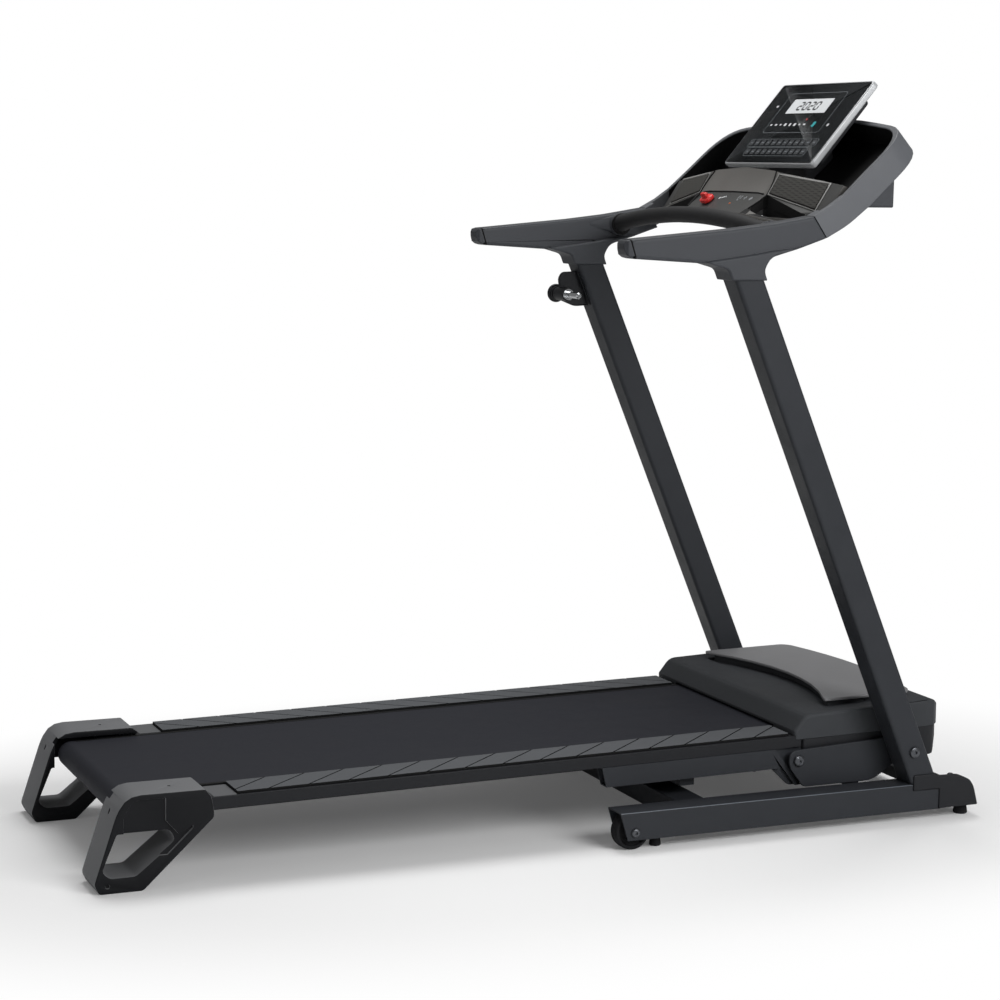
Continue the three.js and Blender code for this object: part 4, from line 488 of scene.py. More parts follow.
SOCKET = (GRIP_X, GRIP_Z - GRIP_CROWN)  # where the bar enters the handle, as (x, z)
FAIRING_FOOT = 0.3195  # place across of the fairing's wide end, inside the handle's wall
FAIRING_REAR = GRIP_X - 0.006  # the wide end is drawn out behind this place
FAIRING_LONGER, FAIRING_LOWER = 3.4, 0.45
for side, s in SIDES:
    seat = turned(f"grip_seat_{side}", [
        (0.0195, s * 0.3018), (0.0216, s * 0.3021), (0.0222, s * 0.3032), (0.0222, s * 0.3056),
    ], SOCKET, "Y", 48)
    rounded(seat, 0.0004, 2, 40)
    seat.data.materials.append(joint_black_and_painted_shade)
    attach(seat, "base")
    foot = s * FAIRING_FOOT
    fairing = turned(f"grip_fairing_{side}", [
        (0.0248, foot), (0.0236, s * 0.3125), (0.0226, s * 0.3050), (0.0212, s * 0.3045),
    ], SOCKET, "Y", 48)
    edit_parts(fairing, "VERT", lambda corner: (
        abs(corner.co.y) > FAIRING_FOOT - 0.0005 and corner.co.x < FAIRING_REAR))
    bpy.ops.transform.resize(
        value=(FAIRING_LONGER, 1, FAIRING_LOWER), center_override=(FAIRING_REAR, foot, SOCKET[1]))
    bpy.ops.object.mode_set(mode="OBJECT")
    rounded(fairing, 0.0004, 2, 40, even=False)
    fairing.data.materials.append(grey_plastic)
    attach(fairing, "base")


# ---------------------------------------- console tray and beam
# The tray is a deep moulded rim that runs on from the handles and carries the console. It is
# painted like the handles outside, in a lighter colour that is painted light, and left black inside
# its bowl. A beam under it is screwed to both uprights.
TRAY_TILT = math.radians(42.2)
CREST = Vector((0.525, 0, 1.197))
BOWL_MIDDLE = Vector((0.610, 0, 1.235))
bowl_black = surface("unpainted black bowl", "#0c0c0d", 0.6, 0.2, 0.0015, specular=0.15)
# The tray's grey is the handles' paint made lighter: painted light.
tray_grey_painted_light = surface(
    "light side of the cool grey paint", "#5a5c60", 0.46, 0.18, 0.0013)
BOWL_LIP = 0.0025  # width of the painted lip above the black bowl


def in_bowl(middle, normal):
    """True on the faces inside the bowl, below its painted lip."""
    depth = (CREST - middle).dot(Vector((-math.sin(TRAY_TILT), 0, math.cos(TRAY_TILT))))
    inward = Vector((BOWL_MIDDLE.x - middle.x, -middle.y, BOWL_MIDDLE.z - middle.z))
    return depth > BOWL_LIP and inward.dot(normal) > 0 and middle.x > CREST.x


tray = softened("console_tray", "tray_rim", tray_grey_painted_light, 0.0022, 3, 30)
clad(tray, bowl_black, in_bowl)
clad(tray, joint_black_and_painted_shade, at_joint)
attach(tray, "base")
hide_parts("console_tray")
beam = softened("console_beam", "tray_beam", grey_plastic, 0.0012, 2, 30)
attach(beam, "base")
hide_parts("console_beam")

# ---------------------------------------- console deck
# One moulding in warm grey with a dark shelf, two lined pockets and a slope that carries the
# speakers. Curved black joints part its middle band from the speaker fields.
warm_grey = surface("warm grey paint", "#686663", 0.46, 0.2, 0.0014, specular=0.25)
shelf_grey = surface("dark shelf insert", "#3f3f3e", 0.55, 0.35, 0.0016)
pocket_lining = surface("ribbed pocket lining", "#161616", 0.7, 0.5, 0.003, specular=0.2)
DECK_SECTIONS = (  # place across, lip, foot and top of the slope, each as (x, z)
    (0.000, (0.441, 1.158), (0.488, 1.195), (0.512, 1.243)),
    (0.112, (0.441, 1.156), (0.488, 1.194), (0.513, 1.237)),
    (0.135, (0.442, 1.154), (0.486, 1.190), (0.513, 1.234)),
    (0.298, (0.447, 1.140), (0.499, 1.162), (0.533, 1.216)),
)


def on_deck(y, along, lift=0.0):
    """A point of the deck's upper skin: `along` runs 0 to 1 over the shelf, 1 to 2 up the slope."""
    side = abs(y)
    for near, far in zip(DECK_SECTIONS, DECK_SECTIONS[1:]):
        if side <= far[0]:
            break
    t = min((side - near[0]) / (far[0] - near[0]), 1)
    first = int(along >= 1)
    a, b = (
        Vector(near[k + 1]).lerp(Vector(far[k + 1]), t) for k in (first, first + 1))
    flat = a.lerp(b, along - first)
    rise = (b - a).normalized()
    return Vector((flat.x - lift * rise.y, y, flat.y + lift * rise.x))


SPEAKER_FIELD = 0.136  # the dark speaker fields begin this far from the middle
SHELF_HALF, SHELF_FRONT = 0.127, 0.4865  # half width and front edge of the dark shelf insert


def in_pocket(middle, normal):
    """True on the walls and the floor of a pocket, below the skin of the shelf."""
    return (0.4495 < middle.x < 0.4885 and 0.1265 < abs(middle.y) < 0.2895 and middle.z > 1.1325
            and (middle.z < on_deck(middle.y, 0.5).z - 0.002 or normal.z < 0.3))


panel = softened("console_deck", "deck_moulding", warm_grey, 0.0005, 2, 30)
clad(panel, shelf_grey, lambda m, n: abs(m.y) > SPEAKER_FIELD and m.x > SHELF_FRONT and n.z > 0.2)
clad(panel, shelf_grey, lambda m, n: m.x < SHELF_FRONT and n.z > 0.6 and abs(m.y) < SHELF_HALF)
clad(panel, pocket_lining, in_pocket)
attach(panel, "base")
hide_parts("console_deck")

JOINT_Y, JOINT_BOW = 0.124, 0.012  # the joints bow outwards between their ends
for side, s in SIDES:
    steps = [i / 14 for i in range(15)]
    line = [on_deck(s * (JOINT_Y + JOINT_BOW * math.sin(math.pi * t)), 0.25 + 1.73 * t, 0.0004)
            for t in steps]
    groove = swept(f"deck_joint_{side}", line, [0.0017] * len(line), 8)
    groove.data.materials.append(joint_black_and_painted_shade)
    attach(groove, "base")
crease_line = [on_deck(-0.122 + 0.0244 * i, 1.0, 0.0006) for i in range(11)]
crease = swept("shelf_joint", crease_line, [0.0016] * len(crease_line), 8)
crease.data.materials.append(joint_black_and_painted_shade)
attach(crease, "base")


# Printed marks on the shelf: small bars and dots, pad-printed in white and orange.
def slab(name, length, width, height, round_by):
    """A thin printed or inlaid shape lying flat at the origin, with rounded corners."""
    bpy.ops.object.select_all(action="DESELECT")
    bpy.ops.mesh.primitive_cube_add(size=1, location=(0, 0, 0))
    piece = bpy.context.active_object
    piece.name = name
    piece.scale = (length, width, height)
    bpy.ops.object.transform_apply(location=True, rotation=True, scale=True)
    for edge in piece.data.edges:
        a, b = (piece.data.vertices[v].co for v in edge.vertices)
        edge.select = abs(a.z - b.z) > height / 2
    for part in (*piece.data.polygons, *piece.data.vertices):
        part.select = False
    bpy.ops.object.mode_set(mode="EDIT")
    bpy.ops.mesh.select_mode(type="EDGE")
    bpy.ops.mesh.bevel(offset=round_by, segments=4, affect="EDGES")
    bpy.ops.object.mode_set(mode="OBJECT")
    bpy.ops.object.shade_smooth_by_angle(angle=math.radians(30), keep_sharp_edges=False)
    return piece


def laid(piece, where, turn=0.0, slope=0.0):
    """Turns a flat piece about its own middle, leans it back by `slope` and sets it down."""
    piece.matrix_world = (
        Matrix.Translation(where) @ Matrix.Rotation(-slope, 4, "Y") @ Matrix.Rotation(turn, 4, "Z"))
    pick(piece)
    bpy.ops.object.transform_apply(location=True, rotation=True, scale=True)
    return piece


def joined(name, parts):
    """Several small shapes as one piece."""
    bpy.ops.object.select_all(action="DESELECT")
    for part in parts:
        part.select_set(True)
    bpy.context.view_layer.objects.active = parts[0]
    bpy.ops.object.join()
    parts[0].name = name
    return parts[0]


print_white = surface("white print", "#d9dbdc", 0.5, 0.05, mottle=0.04)
print_grey = surface("grey print", "#85888b", 0.5, 0.05, mottle=0.04)
print_orange = surface("orange print", "#d9691e", 0.5, 0.05, mottle=0.04)
SHELF_SLOPE = math.atan2(0.037, 0.047)  # rise and run of the shelf in its middle
SHELF_MARKS = (  # length, width, place across, place along the shelf, turn in degrees
    (print_white, ((0.004, 0.014, 0.012, 0.70, 20), (0.006, 0.005, 0.026, 0.66, 0))),
    (print_grey, ((0.010, 0.003, -0.046, 0.74, 0), (0.010, 0.003, -0.055, 0.74, 0),
                  (0.003, 0.006, -0.050, 0.60, 0), (0.010, 0.003, -0.072, 0.72, 0),
                  (0.003, 0.009, -0.072, 0.72, 0), (0.009, 0.009, -0.095, 0.70, 45))),
    (print_orange, ((0.004, 0.004, -0.035, 0.42, 45),)),
)
for ink, marks in SHELF_MARKS:
    parts = [
        laid(slab("mark", length, width, 0.0006, min(length, width) * 0.3),
             on_deck(y, along, 0.0003), math.radians(turn), SHELF_SLOPE)
        for length, width, y, along, turn in marks]
    shelf_print = joined(f"shelf_print_{ink.name.split()[0]}", parts)
    shelf_print.data.materials.append(ink)
    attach(shelf_print, "base")

# A lined wall closes the front of each pocket. Its top follows the foot of the slope.
POCKET = (0.4885, 0.1180, 0.2875, 1.1345)  # front, inner end, outer end, floor
WALL_HEIGHT, WALL_RAISED, WALL_LEAN = 0.020, 0.0145, 0.150
for side, s in SIDES:
    front, near, far, bottom = POCKET
    across = s * (near + far) / 2
    wall = slab(f"pocket_wall_{side}", 0.0012, far - near, WALL_HEIGHT, 0.0002)
    laid(wall, (front, across, bottom + WALL_HEIGHT / 2))
    edit_parts(wall, "FACE", lambda face: face.normal.z > 0.9)
    bpy.ops.transform.translate(value=(0, 0, WALL_RAISED))
    bpy.ops.transform.rotate(
        value=s * WALL_LEAN, orient_axis="X",
        center_override=(front, across, bottom + WALL_HEIGHT + WALL_RAISED))
    bpy.ops.object.mode_set(mode="OBJECT")
    wall.data.materials.append(pocket_lining)
    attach(wall, "base")

# ---------------------------------------- speakers
# A perforated grille covers each speaker, framed by a light moulded bead. The grilles are
# punched plastic with a mesh pitch of four millimetres, clipped into the slope.
grille_skin = surface("perforated grille", "#484744", 0.75, 0.5, specular=0.2)
tree = grille_skin.node_tree
holes = add_node(tree, "TexVoronoi", Scale=250, Randomness=0.0)
tree.links.new(tree.nodes["Texture Coordinate"].outputs["Object"], holes.inputs["Vector"])
punched = add_node(tree, "MapRange", From_Min=0.28, From_Max=0.40)
tree.links.new(holes.outputs["Distance"], punched.inputs["Value"])
mesh_colour = add_node(tree, "Mix")
mesh_colour.data_type = "RGBA"
mesh_colour.inputs["A"].default_value = paint("#1f1f1e")
tree.links.new(punched.outputs["Result"], mesh_colour.inputs["Factor"])
tree.links.new(tree.nodes["tint"].outputs["Result"], mesh_colour.inputs["B"])
tree.links.new(
    mesh_colour.outputs["Result"], tree.nodes["Principled BSDF"].inputs["Base Color"])
frame_grey = surface("light grey bead", "#9b9a98", 0.4, 0.1, specular=0.4)
BEAD_CORNERS = [  # place across, and along the deck as on_deck counts it
    (0.139, 1.05), (0.139, 1.91), (0.2945, 1.96), (0.2945, 1.03)]
BEAD_RADII = [0.0016] * 6 + [0.0030] * 7 + [0.0012] * 11  # inner end, top, outer end and foot

for side, s in SIDES:
    grille = softened(
        f"speaker_grille_{side}", f"speaker_mesh_{side}", grille_skin, 0.0006, 2, 30)
    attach(grille, "base")
    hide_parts(f"speaker_grille_{side}")
    loop = []
    for (y0, a0), (y1, a1) in zip(BEAD_CORNERS, BEAD_CORNERS[1:] + BEAD_CORNERS[:1]):
        loop += [on_deck(s * (y0 + (y1 - y0) * i / 6), a0 + (a1 - a0) * i / 6, 0.0006)
                 for i in range(6)]
    bead = swept(f"speaker_bead_{side}", loop, BEAD_RADII, 8, cyclic=True)
    bead.data.materials.append(frame_grey)
    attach(bead, "base")

# ---------------------------------------- safety key
# A red moulded key with a finger grip stands in a slot of the shelf. It lifts straight out to
# stop the machine.
red_plastic = surface(
    "moulded red plastic", "#e2302e", 0.35, 0.08, specular=0.5, mottle=0.06)
key = softened("safety_key", "stop_key", red_plastic, 0.0014, 3, 30)
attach(key, "key")
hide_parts("safety_key")

# ---------------------------------------- display
# The display is a slim panel: a silver-painted housing with a film-covered face, standing on
# a neck in the tray. A black cover closes its back.
DISPLAY_TILT = math.radians(49.9)
DISPLAY_FOOT = Vector((0.557, 0, 1.250))
silver = surface("silver paint", "#b9bbbd", 0.34, 0.06, specular=0.5, metallic=0.2)
film = surface("printed overlay film", "#26292c", 0.6, 0.06, 0.0016, specular=0.12)
SILVER_DEPTH = 0.0136  # the housing is silver as far back as this, and black behind it
housing = softened("display_housing", "display_frame", silver, 0.0011, 3, 35)
outward = Vector((-math.sin(DISPLAY_TILT), 0, math.cos(DISPLAY_TILT)))
clad(housing, black_plastic, lambda m, n: (m - DISPLAY_FOOT).dot(outward) < -SILVER_DEPTH)
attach(housing, "base")
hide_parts("display_housing")


def on_display(piece, up, across, out, turn=0.0):
    """Sets a flat piece on the panel, `up` from its lower edge and `out` from its face."""
    where = DISPLAY_FOOT + Vector((
        up * math.cos(DISPLAY_TILT) - out * math.sin(DISPLAY_TILT), across,
        up * math.sin(DISPLAY_TILT) + out * math.cos(DISPLAY_TILT)))
    return laid(piece, where, turn, DISPLAY_TILT)


overlay = on_display(slab("display_film", 0.2024, 0.3414, 0.0027, 0.006), 0.1055, 0, -0.00135)
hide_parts("display_face")
cover = slab("display_back_cover", 0.164, 0.330, 0.0105, 0.012)
on_display(rounded(cover, 0.002, 2, 40), 0.096, 0, -0.0190)
cover.data.materials.append(black_plastic)
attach(cover, "base")

# Liquid crystal window: a pale glass with dark seven-bar digits.
lcd_glass = surface("pale display glass", "#eceff1", 0.25, 0.02, specular=0.5, mottle=0.03)
lcd_ink = surface("display segments", "#15181a", 0.4, 0.02)
WINDOW_UP = 0.149
window = on_display(slab("display_window", 0.037, 0.152, 0.0008, 0.0008), WINDOW_UP, 0, 0.0001)
DIGIT_HEIGHT, DIGIT_WIDTH, DIGIT_PITCH = 0.019, 0.0140, 0.0215
FIRST_DIGIT, DIGIT_LEAN = 0.034, 0.0023
BAR = 0.0034  # width of a bar
BARS = {  # middle of each bar in half heights up and half widths across, and if it is upright
    "a": (1, 0, False), "b": (0.5, -1, True), "c": (-0.5, -1, True), "d": (-1, 0, False),
    "e": (-0.5, 1, True), "f": (0.5, 1, True), "g": (0, 0, False)}
DIGITS = {"2": "abged", "0": "abcdef"}


def digit_bar(length):
    """One bar of a digit: a six-sided plate with pointed ends, lying along Y."""
    bpy.ops.object.select_all(action="DESELECT")
    bpy.ops.mesh.primitive_circle_add(
        vertices=6, radius=1, fill_type="NGON", location=(0, 0, 0), rotation=(0, 0, 0))
    bar = bpy.context.active_object
    bar.scale = (BAR / 2 / math.sin(math.pi / 3), length / 2, 1)
    bpy.ops.object.transform_apply(location=True, rotation=True, scale=True)
    bpy.ops.object.mode_set(mode="EDIT")
    bpy.ops.mesh.select_all(action="SELECT")
    bpy.ops.mesh.extrude_region_move(TRANSFORM_OT_translate={"value": (0, 0, 0.0003)})
    bpy.ops.mesh.select_all(action="SELECT")
    bpy.ops.mesh.normals_make_consistent(inside=False)
    bpy.ops.object.mode_set(mode="OBJECT")
    return bar


bars = []
for place, digit in enumerate("2020"):
    middle = FIRST_DIGIT - place * DIGIT_PITCH
    for letter in DIGITS[digit]:
        up, across, stands = BARS[letter]
        length = DIGIT_HEIGHT / 2 if stands else DIGIT_WIDTH
        bars.append(on_display(
            digit_bar(length), WINDOW_UP + up * DIGIT_HEIGHT / 2,
            middle + across * DIGIT_WIDTH / 2 - up * DIGIT_LEAN, 0.0005,
            math.radians(80) if stands else 0))
digits = joined("display_digits", bars)


def printed_line(name, low, high, left, right, corner, thick):
    """A printed line with rounded corners round a field of the panel, `left` towards +Y."""
    plate = on_display(slab(name, high - low, left - right, 0.0004, corner),
                       (low + high) / 2, (left + right) / 2, 0.0001)
    edit_parts(plate, "FACE", lambda face: abs(face.normal.dot(outward)) > 0.99)
    bpy.ops.mesh.inset(thickness=thick, depth=0)
    bpy.ops.mesh.bridge_edge_loops()
    bpy.ops.mesh.select_all(action="SELECT")
    bpy.ops.mesh.normals_make_consistent(inside=False)
    bpy.ops.object.mode_set(mode="OBJECT")
    return plate


print_line = surface("faint printed line", "#767b7f", 0.5, 0.02, specular=0.2, mottle=0.04)
fields = joined("display_lines", [
    printed_line("line", 0.080, 0.184, 0.110, -0.110, 0.008, 0.0009),
    printed_line("line", 0.044, 0.064, 0.130, -0.137, 0.006, 0.0008),
    printed_line("line", 0.020, 0.042, 0.121, -0.121, 0.006, 0.0008),
])

# Membrane keys: embossed pads in two rows under the film, each with its printed mark.
key_skin = surface("embossed key", "#303336", 0.5, 0.08, specular=0.25)
pads, marks, faint = [], [], []
KEY_ROWS = (  # place up, left end, right end, number of keys
    (0.054, 0.119, -0.126, 12), (0.031, 0.110, -0.110, 11))
for up, left, right, count in KEY_ROWS:
    for i in range(count):
        across = left + (right - left) * i / (count - 1)
        pads.append(on_display(slab("key", 0.0135, 0.0165, 0.0008, 0.003), up, across, 0.0003))
        wide = 0.0085 if i % 3 else 0.005
        faint.append(on_display(slab("mark", 0.0022, wide, 0.0003, 0.0009), up, across, 0.0008))
keys = joined("membrane_keys", pads)
key_marks = joined("key_marks", faint)

# White marks stand in a row under the window and beside it, with one in teal and one in red.
for i in range(8):
    tall = 0.004 + 0.003 * (i in (3, 4, 5))
    marks.append(on_display(
        slab("mark", tall, 0.0065 + 0.002 * (i % 2), 0.0003, 0.001),
        0.101, 0.096 - 0.0185 * i, 0.0003))
marks.append(on_display(slab("mark", 0.007, 0.007, 0.0003, 0.003), 0.099, -0.126, 0.0003))
marks.append(on_display(slab("mark", 0.005, 0.007, 0.0003, 0.002), 0.150, 0.128, 0.0003))
display_marks = joined("display_marks", marks)
teal = surface("teal print", "#21a0a5", 0.5, 0.02, mottle=0.04)
teal_mark = on_display(
    slab("display_mark_teal", 0.013, 0.010, 0.0004, 0.002), 0.101, -0.070, 0.0004)
red_mark = on_display(
    slab("display_mark_red", 0.004, 0.004, 0.0004, 0.0018), 0.114, -0.029, 0.0004)
for piece, skin in (
        (overlay, film), (window, lcd_glass), (digits, lcd_ink), (fields, print_line),
        (keys, key_skin), (key_marks, print_line), (display_marks, print_white),
        (teal_mark, teal), (red_mark, red_plastic)):
    piece.data.materials.append(skin)
    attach(piece, "base")

# ---------------------------------------- fold latch
# A sprung pin in a moulded bracket on the left upright holds the folded deck. The pin is bright
# chromed steel with a collar, its black knob is grooved for the fingers.
LATCH = (0.276, 0.979)  # the pin's line, as (x, z)
chrome = surface(
    "bright chrome", "#c9cbcd", 0.14, 0.02, specular=0.5, metallic=1.0, mottle=0.03)
bracket = softened("latch_bracket", "latch_barrel_bracket", black_plastic, 0.0012, 2, 35)
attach(bracket, "base")
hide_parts("latch_bracket")
pin = turned("latch_pin", [
    (0.0038, 0.250), (0.0062, 0.2525), (0.0065, 0.2535), (0.0065, 0.3535),
], LATCH, "Y", 48)
rounded(pin, 0.0004, 2, 40)
pin.data.materials.append(chrome)
knob = turned("latch_knob", [
    (0.0148, 0.3533), (0.0152, 0.3545), (0.0152, 0.3575), (0.0128, 0.3582), (0.0128, 0.3602),
    (0.0172, 0.3612), (0.0190, 0.3640), (0.0188, 0.3668), (0.0172, 0.3685), (0.0100, 0.3690),
], LATCH, "Y", 64)
rounded(knob, 0.0004, 2, 40)
knob.data.materials.append(black_plastic)
for piece in (pin, knob):
    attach(piece, "latch")
    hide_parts("latch_plunger")
ring = turned("latch_ring", [
    (0.0080, 0.3017), (0.0112, 0.3017), (0.0118, 0.3022), (0.0118, 0.3032), (0.0080, 0.3032),
], LATCH, "Y", 48)
ring.data.materials.append(chrome)
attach(ring, "base")

# ---------------------------------------- lift frame
# Two flat steel arms with rounded noses hang on pivot bolts in the uprights and carry the deck's
# nose. A square tube with lugs ties them, all powder-coated.
FOLD_PIVOT = (0.714965, 0.137)
NOSE_PIVOT = (0.499, 0.123)
for side, s in SIDES:
    arm = softened(f"lift_arm_{side}", f"lift_link_{side}", powder_coat, 0.0008, 2, 30)
    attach(arm, "lift_frame")
    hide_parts(f"lift_arm_{side}")
    pivot = socket_screw(f"pivot_bolt_{side}", [
        (0.006, s * 0.290), (0.006, s * 0.3653), (0.011, s * 0.3653), (0.011, s * 0.3668),
        (0.0098, s * 0.3695), (0.0072, s * 0.3710),
    ], FOLD_PIVOT, "Y", 0.004, 0.0032, 48)
    pivot.data.materials.append(zinc)
    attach(pivot, "fold_pivot")
    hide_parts(f"pivot_bolt_{side}")
    nose = socket_screw(f"nose_pin_{side}", [
        (0.0058, s * 0.272), (0.006, s * 0.274), (0.006, s * 0.282), (0.011, s * 0.2823),
        (0.011, s * 0.2928), (0.006, s * 0.293), (0.006, s * 0.3003), (0.011, s * 0.3006),
        (0.011, s * 0.302), (0.0098, s * 0.3045), (0.0075, s * 0.306),
    ], NOSE_PIVOT, "Y", 0.0038, 0.003, 48)
    nose.data.materials.append(zinc)
    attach(nose, "lift_frame")
    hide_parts(f"nose_bolt_{side}")
tie = softened("lift_cross_tube", "lift_tie_tube", powder_coat, 0.0008, 2, 30)
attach(tie, "lift_frame")
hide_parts("lift_cross_tube")

# ---------------------------------------- deck frame and board
# The deck's frame is welded from pressed channels and cross members, powder-coated. The running
# board is a waxed fibreboard with a black laminate on top. Two bolt heads show on each side.
for node, name, radius in (
        ("deck_frame", "welded_frame", 0), ("rear_cross_member", "rear_tie", 0.0008)):
    member = softened(node, name, powder_coat, radius, 2, 35)
    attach(member, "deck")
    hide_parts(node)
laminate = surface("black board laminate", "#242426", 0.45, 0.1, 0.003, specular=0.35)
raw_board = surface("raw fibreboard edge", "#8a6a48", 0.8, 0.5, 0.0012, specular=0.15)
board = softened("deck_board", "running_board", laminate, 0.0012, 2, 30)
clad(board, raw_board, lambda m, n: abs(n.z) < 0.5)
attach(board, "deck")
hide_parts("deck_board")
FRAME_BOLTS = (0.414, 0.459)
FRAME_BOLT_Y = 0.279
for side, s in SIDES:
    for i, x in enumerate(FRAME_BOLTS):
        bolt = turned(f"frame_bolt_{side}_{i}", [
            (0.0048, 0.1125), (0.0048, 0.1065), (0.0036, 0.1050),
        ], (x, s * FRAME_BOLT_Y), "Z", 24)
        rounded(bolt, 0.0004, 2, 40)
        bolt.data.materials.append(zinc)
        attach(bolt, "deck")

# ---------------------------------------- rollers, motor and flywheel
# Ground steel rollers turn at both ends of the deck. The motor drives the front one through a
# drive belt, with a cast flywheel on its shaft. The incline motor pushes the lift frame's tube
# with a screw that runs in its own tube.
ground_steel = surface("ground steel", "#8e9094", 0.3, 0.05, specular=0.5, metallic=1.0)
motor_black = surface("black enamel", "#1a1a1b", 0.4, 0.1, specular=0.4)
for node, name, body, skin, slot in (
        ("rear_roller", "idle_roller_tube", "idle_roller", ground_steel, "steel"),
        ("drive_roller", "drive_roller_tube", "drive_roller_body", ground_steel, "steel"),
        ("flywheel", "flywheel_and_shaft", "rotor", ground_steel, "steel"),
        ("drive_motor", "motor_case", "deck", motor_black, "motor"),
        ("drive_belt", "ribbed_belt", "deck", rubber, "rubber"),
        ("incline_motor", "incline_gearmotor", "actuator", motor_black, "motor"),
        ("incline_rod", "incline_screw", "actuator_rod", ground_steel, "steel")):
    part = softened(node, name, skin, 0.0006, 2, 35)
    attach(part, body)
    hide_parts(node)

# ---------------------------------------- running belt
# An endless two-ply belt with a finely grained, slate-coloured PVC top over both rollers; its cut
# edges are black. A black strip along each edge is painted shade of the gap beside the foot pad.
DECK_RISE = math.radians(0.82)  # the deck climbs this much towards its front
belt_skin = surface("slate belt top", "#292a30", 0.62, 0.35, 0.0018, specular=0.12)
belt_edge_and_gap_shade = surface("black belt edge", "#121213", 0.7, 0.2, specular=0.2)
belt = softened("running_belt", "belt_loop", belt_skin, 0.0004, 1, 40)
clad(belt, belt_edge_and_gap_shade, lambda m, n: abs(n.y) > 0.5)
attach(belt, "deck")
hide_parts("running_belt")
for side, s in SIDES:
    # a black strip on the belt's edge: painted shade of the gap beside the foot pad
    border = slab(f"belt_gap_shade_{side}", 1.330, 0.009, 0.0008, 0.0006)
    laid(border, (-0.113, s * 0.1983, 0.1612), 0, DECK_RISE)
    border.data.materials.append(belt_edge_and_gap_shade)
    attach(border, "deck")

# ---------------------------------------- side rails and foot pads
# Extruded rails run beside the belt. Each carries a moulded foot pad with slanted grooves, which
# is snapped into the rail's top.
rail_coat = surface("satin black rail", "#1f2023", 0.5, 0.15, 0.0016, specular=0.2)
rail_grey = surface("smooth grey rail top", "#5f6062", 0.5, 0.1, specular=0.25)
pad_grey = surface("textured foot pad", "#5a5c5f", 0.75, 0.9, 0.0022, specular=0.15)
GROOVE_X, GROOVE_Z = -0.82, 0.1546  # faces below the sloping plane through here are groove
for side, s in SIDES:
    side_rail = softened(f"side_rail_{side}", f"rail_extrusion_{side}", rail_coat, 0.001, 2, 35)
    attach(side_rail, "deck")
    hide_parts(f"side_rail_{side}")
    tread = slab(f"rail_top_{side}", 0.042, 0.072, 0.0005, 0.002)
    laid(tread, (-0.630, s * 0.249, 0.1530), 0, DECK_RISE)
    tread.data.materials.append(rail_grey)
    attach(tread, "deck")
    pad = softened(f"foot_pad_{side}", f"step_pad_{side}", pad_grey, 0.0005, 2, 35)
    # the grooves' faces are painted black: painted shade in the grooves
    clad(pad, joint_black_and_painted_shade, lambda m, n: m.z < GROOVE_Z + (m.x - GROOVE_X) * math.tan(DECK_RISE))
    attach(pad, "deck")
    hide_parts(f"foot_pad_{side}")

# ---------------------------------------- rear feet
# A looped moulding closes the rear end of each rail and stands on the floor. The band round it
# is textured. Every face that looks to either side is black: partly the recessed web's own smooth
# black, partly painted shade. The walls of two holes are painted black as their shade.
band_grey = surface("textured grey band", "#737476", 0.7, 0.7, specular=0.15)
web_black_and_side_shade = surface("smooth black web", "#141518", 0.5, 0.1, specular=0.18)


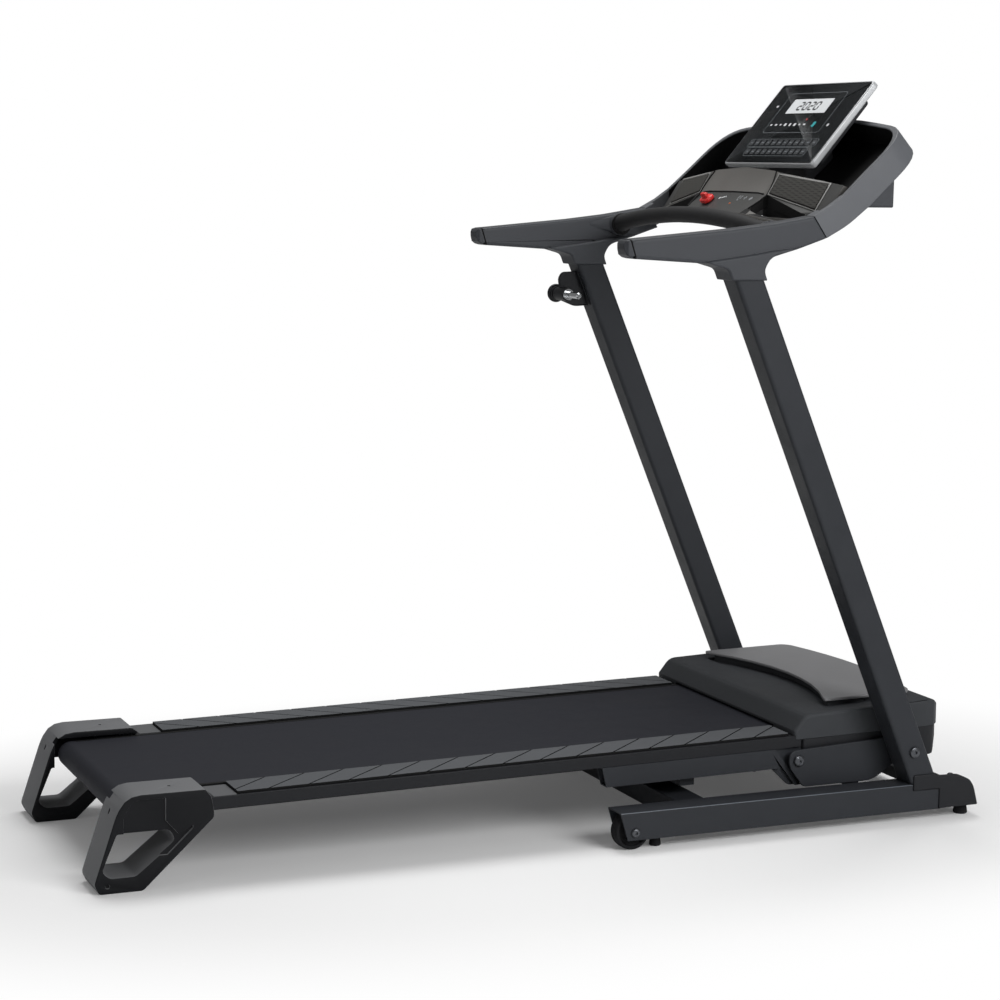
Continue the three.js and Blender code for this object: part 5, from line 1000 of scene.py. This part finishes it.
def bored(piece, holes):
    """Drills blind holes: each is (place, direction, radius, depth, stretch along Z)."""
    for place, axis, radius, depth, stretch in holes:
        lies = {"X": (0, math.pi / 2, 0), "Y": (math.pi / 2, 0, 0), "Z": (0, 0, 0)}[axis]
        bpy.ops.object.select_all(action="DESELECT")
        bpy.ops.mesh.primitive_cylinder_add(
            vertices=20, radius=radius, depth=2 * depth, location=(0, 0, 0), rotation=lies)
        drill = bpy.context.active_object
        bpy.ops.object.transform_apply(location=True, rotation=True, scale=True)
        drill.scale = (1, 1, stretch)
        drill.location = place
        cut = piece.modifiers.new("bore", "BOOLEAN")
        cut.operation = "DIFFERENCE"
        cut.object = drill
        cut.solver = "EXACT"
        pick(piece)
        bpy.ops.object.modifier_apply(modifier=cut.name)
        bpy.data.objects.remove(drill)


for side, s in SIDES:
    slot_place = (-0.8282, s * 0.246, 0.1355)
    low_place = (-0.8615, s * 0.214, 0.009)
    screw_place = (-0.720, s * 0.246, 0.169)
    web_place = (-0.8405, s * 0.292, 0.014)
    rear_foot = merged_copy(f"rear_foot_{side}", f"looped_foot_{side}")
    bored(rear_foot, [
        (slot_place, "X", 0.0032, 0.005, 2.3), (low_place, "X", 0.0032, 0.004, 1.0),
        (screw_place, "Z", 0.0028, 0.004, 1.0), (web_place, "Y", 0.0042, 0.004, 1.0)])
    rounded(rear_foot, 0.0008, 2, 35, even=False)
    rear_foot.data.materials.append(band_grey)
    # every face that looks to either side turns black: the web's own black and painted shade
    clad(rear_foot, web_black_and_side_shade, lambda m, n: abs(n.y) > 0.55)
    # the walls of the slot and of the low hole are painted black as their shade
    clad(rear_foot, joint_black_and_painted_shade, lambda m, n: any(
        abs(m.x - x) < 0.006 and abs(m.y - y) < 0.0045 and abs(m.z - z) < 0.0085
        and max(abs(n.y), abs(n.z)) > 0.9
        for x, y, z in (slot_place, low_place)))
    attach(rear_foot, "deck")
    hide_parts(f"rear_foot_{side}")

# ---------------------------------------- hood, plate, pan and inlet
# A moulded hood covers the motor bay, with a satin plate let into its top. A belly pan closes
# the bay from below and holds the mains inlet at the front.
hood_plastic = surface("textured hood plastic", "#393b3e", 0.58, 0.45, 0.0018, specular=0.18)
satin = surface("satin grey plate", "#88888a", 0.36, 0.1, 0.0016, specular=0.45, metallic=0.25)
for node, name, skin, radius, corner, slot in (
        ("motor_hood", "hood_shell", hood_plastic, 0.0011, 12, "black_plastic"),
        ("hood_plate", "hood_top_plate", satin, 0.001, 30, "satin_plate"),
        ("belly_pan", "belly_tray", black_plastic, 0.001, 35, "black_plastic"),
        ("power_inlet", "mains_inlet", black_plastic, 0.0006, 35, "black_plastic")):
    piece = softened(node, name, skin, radius, 2, corner)
    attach(piece, "deck")
    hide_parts(node)
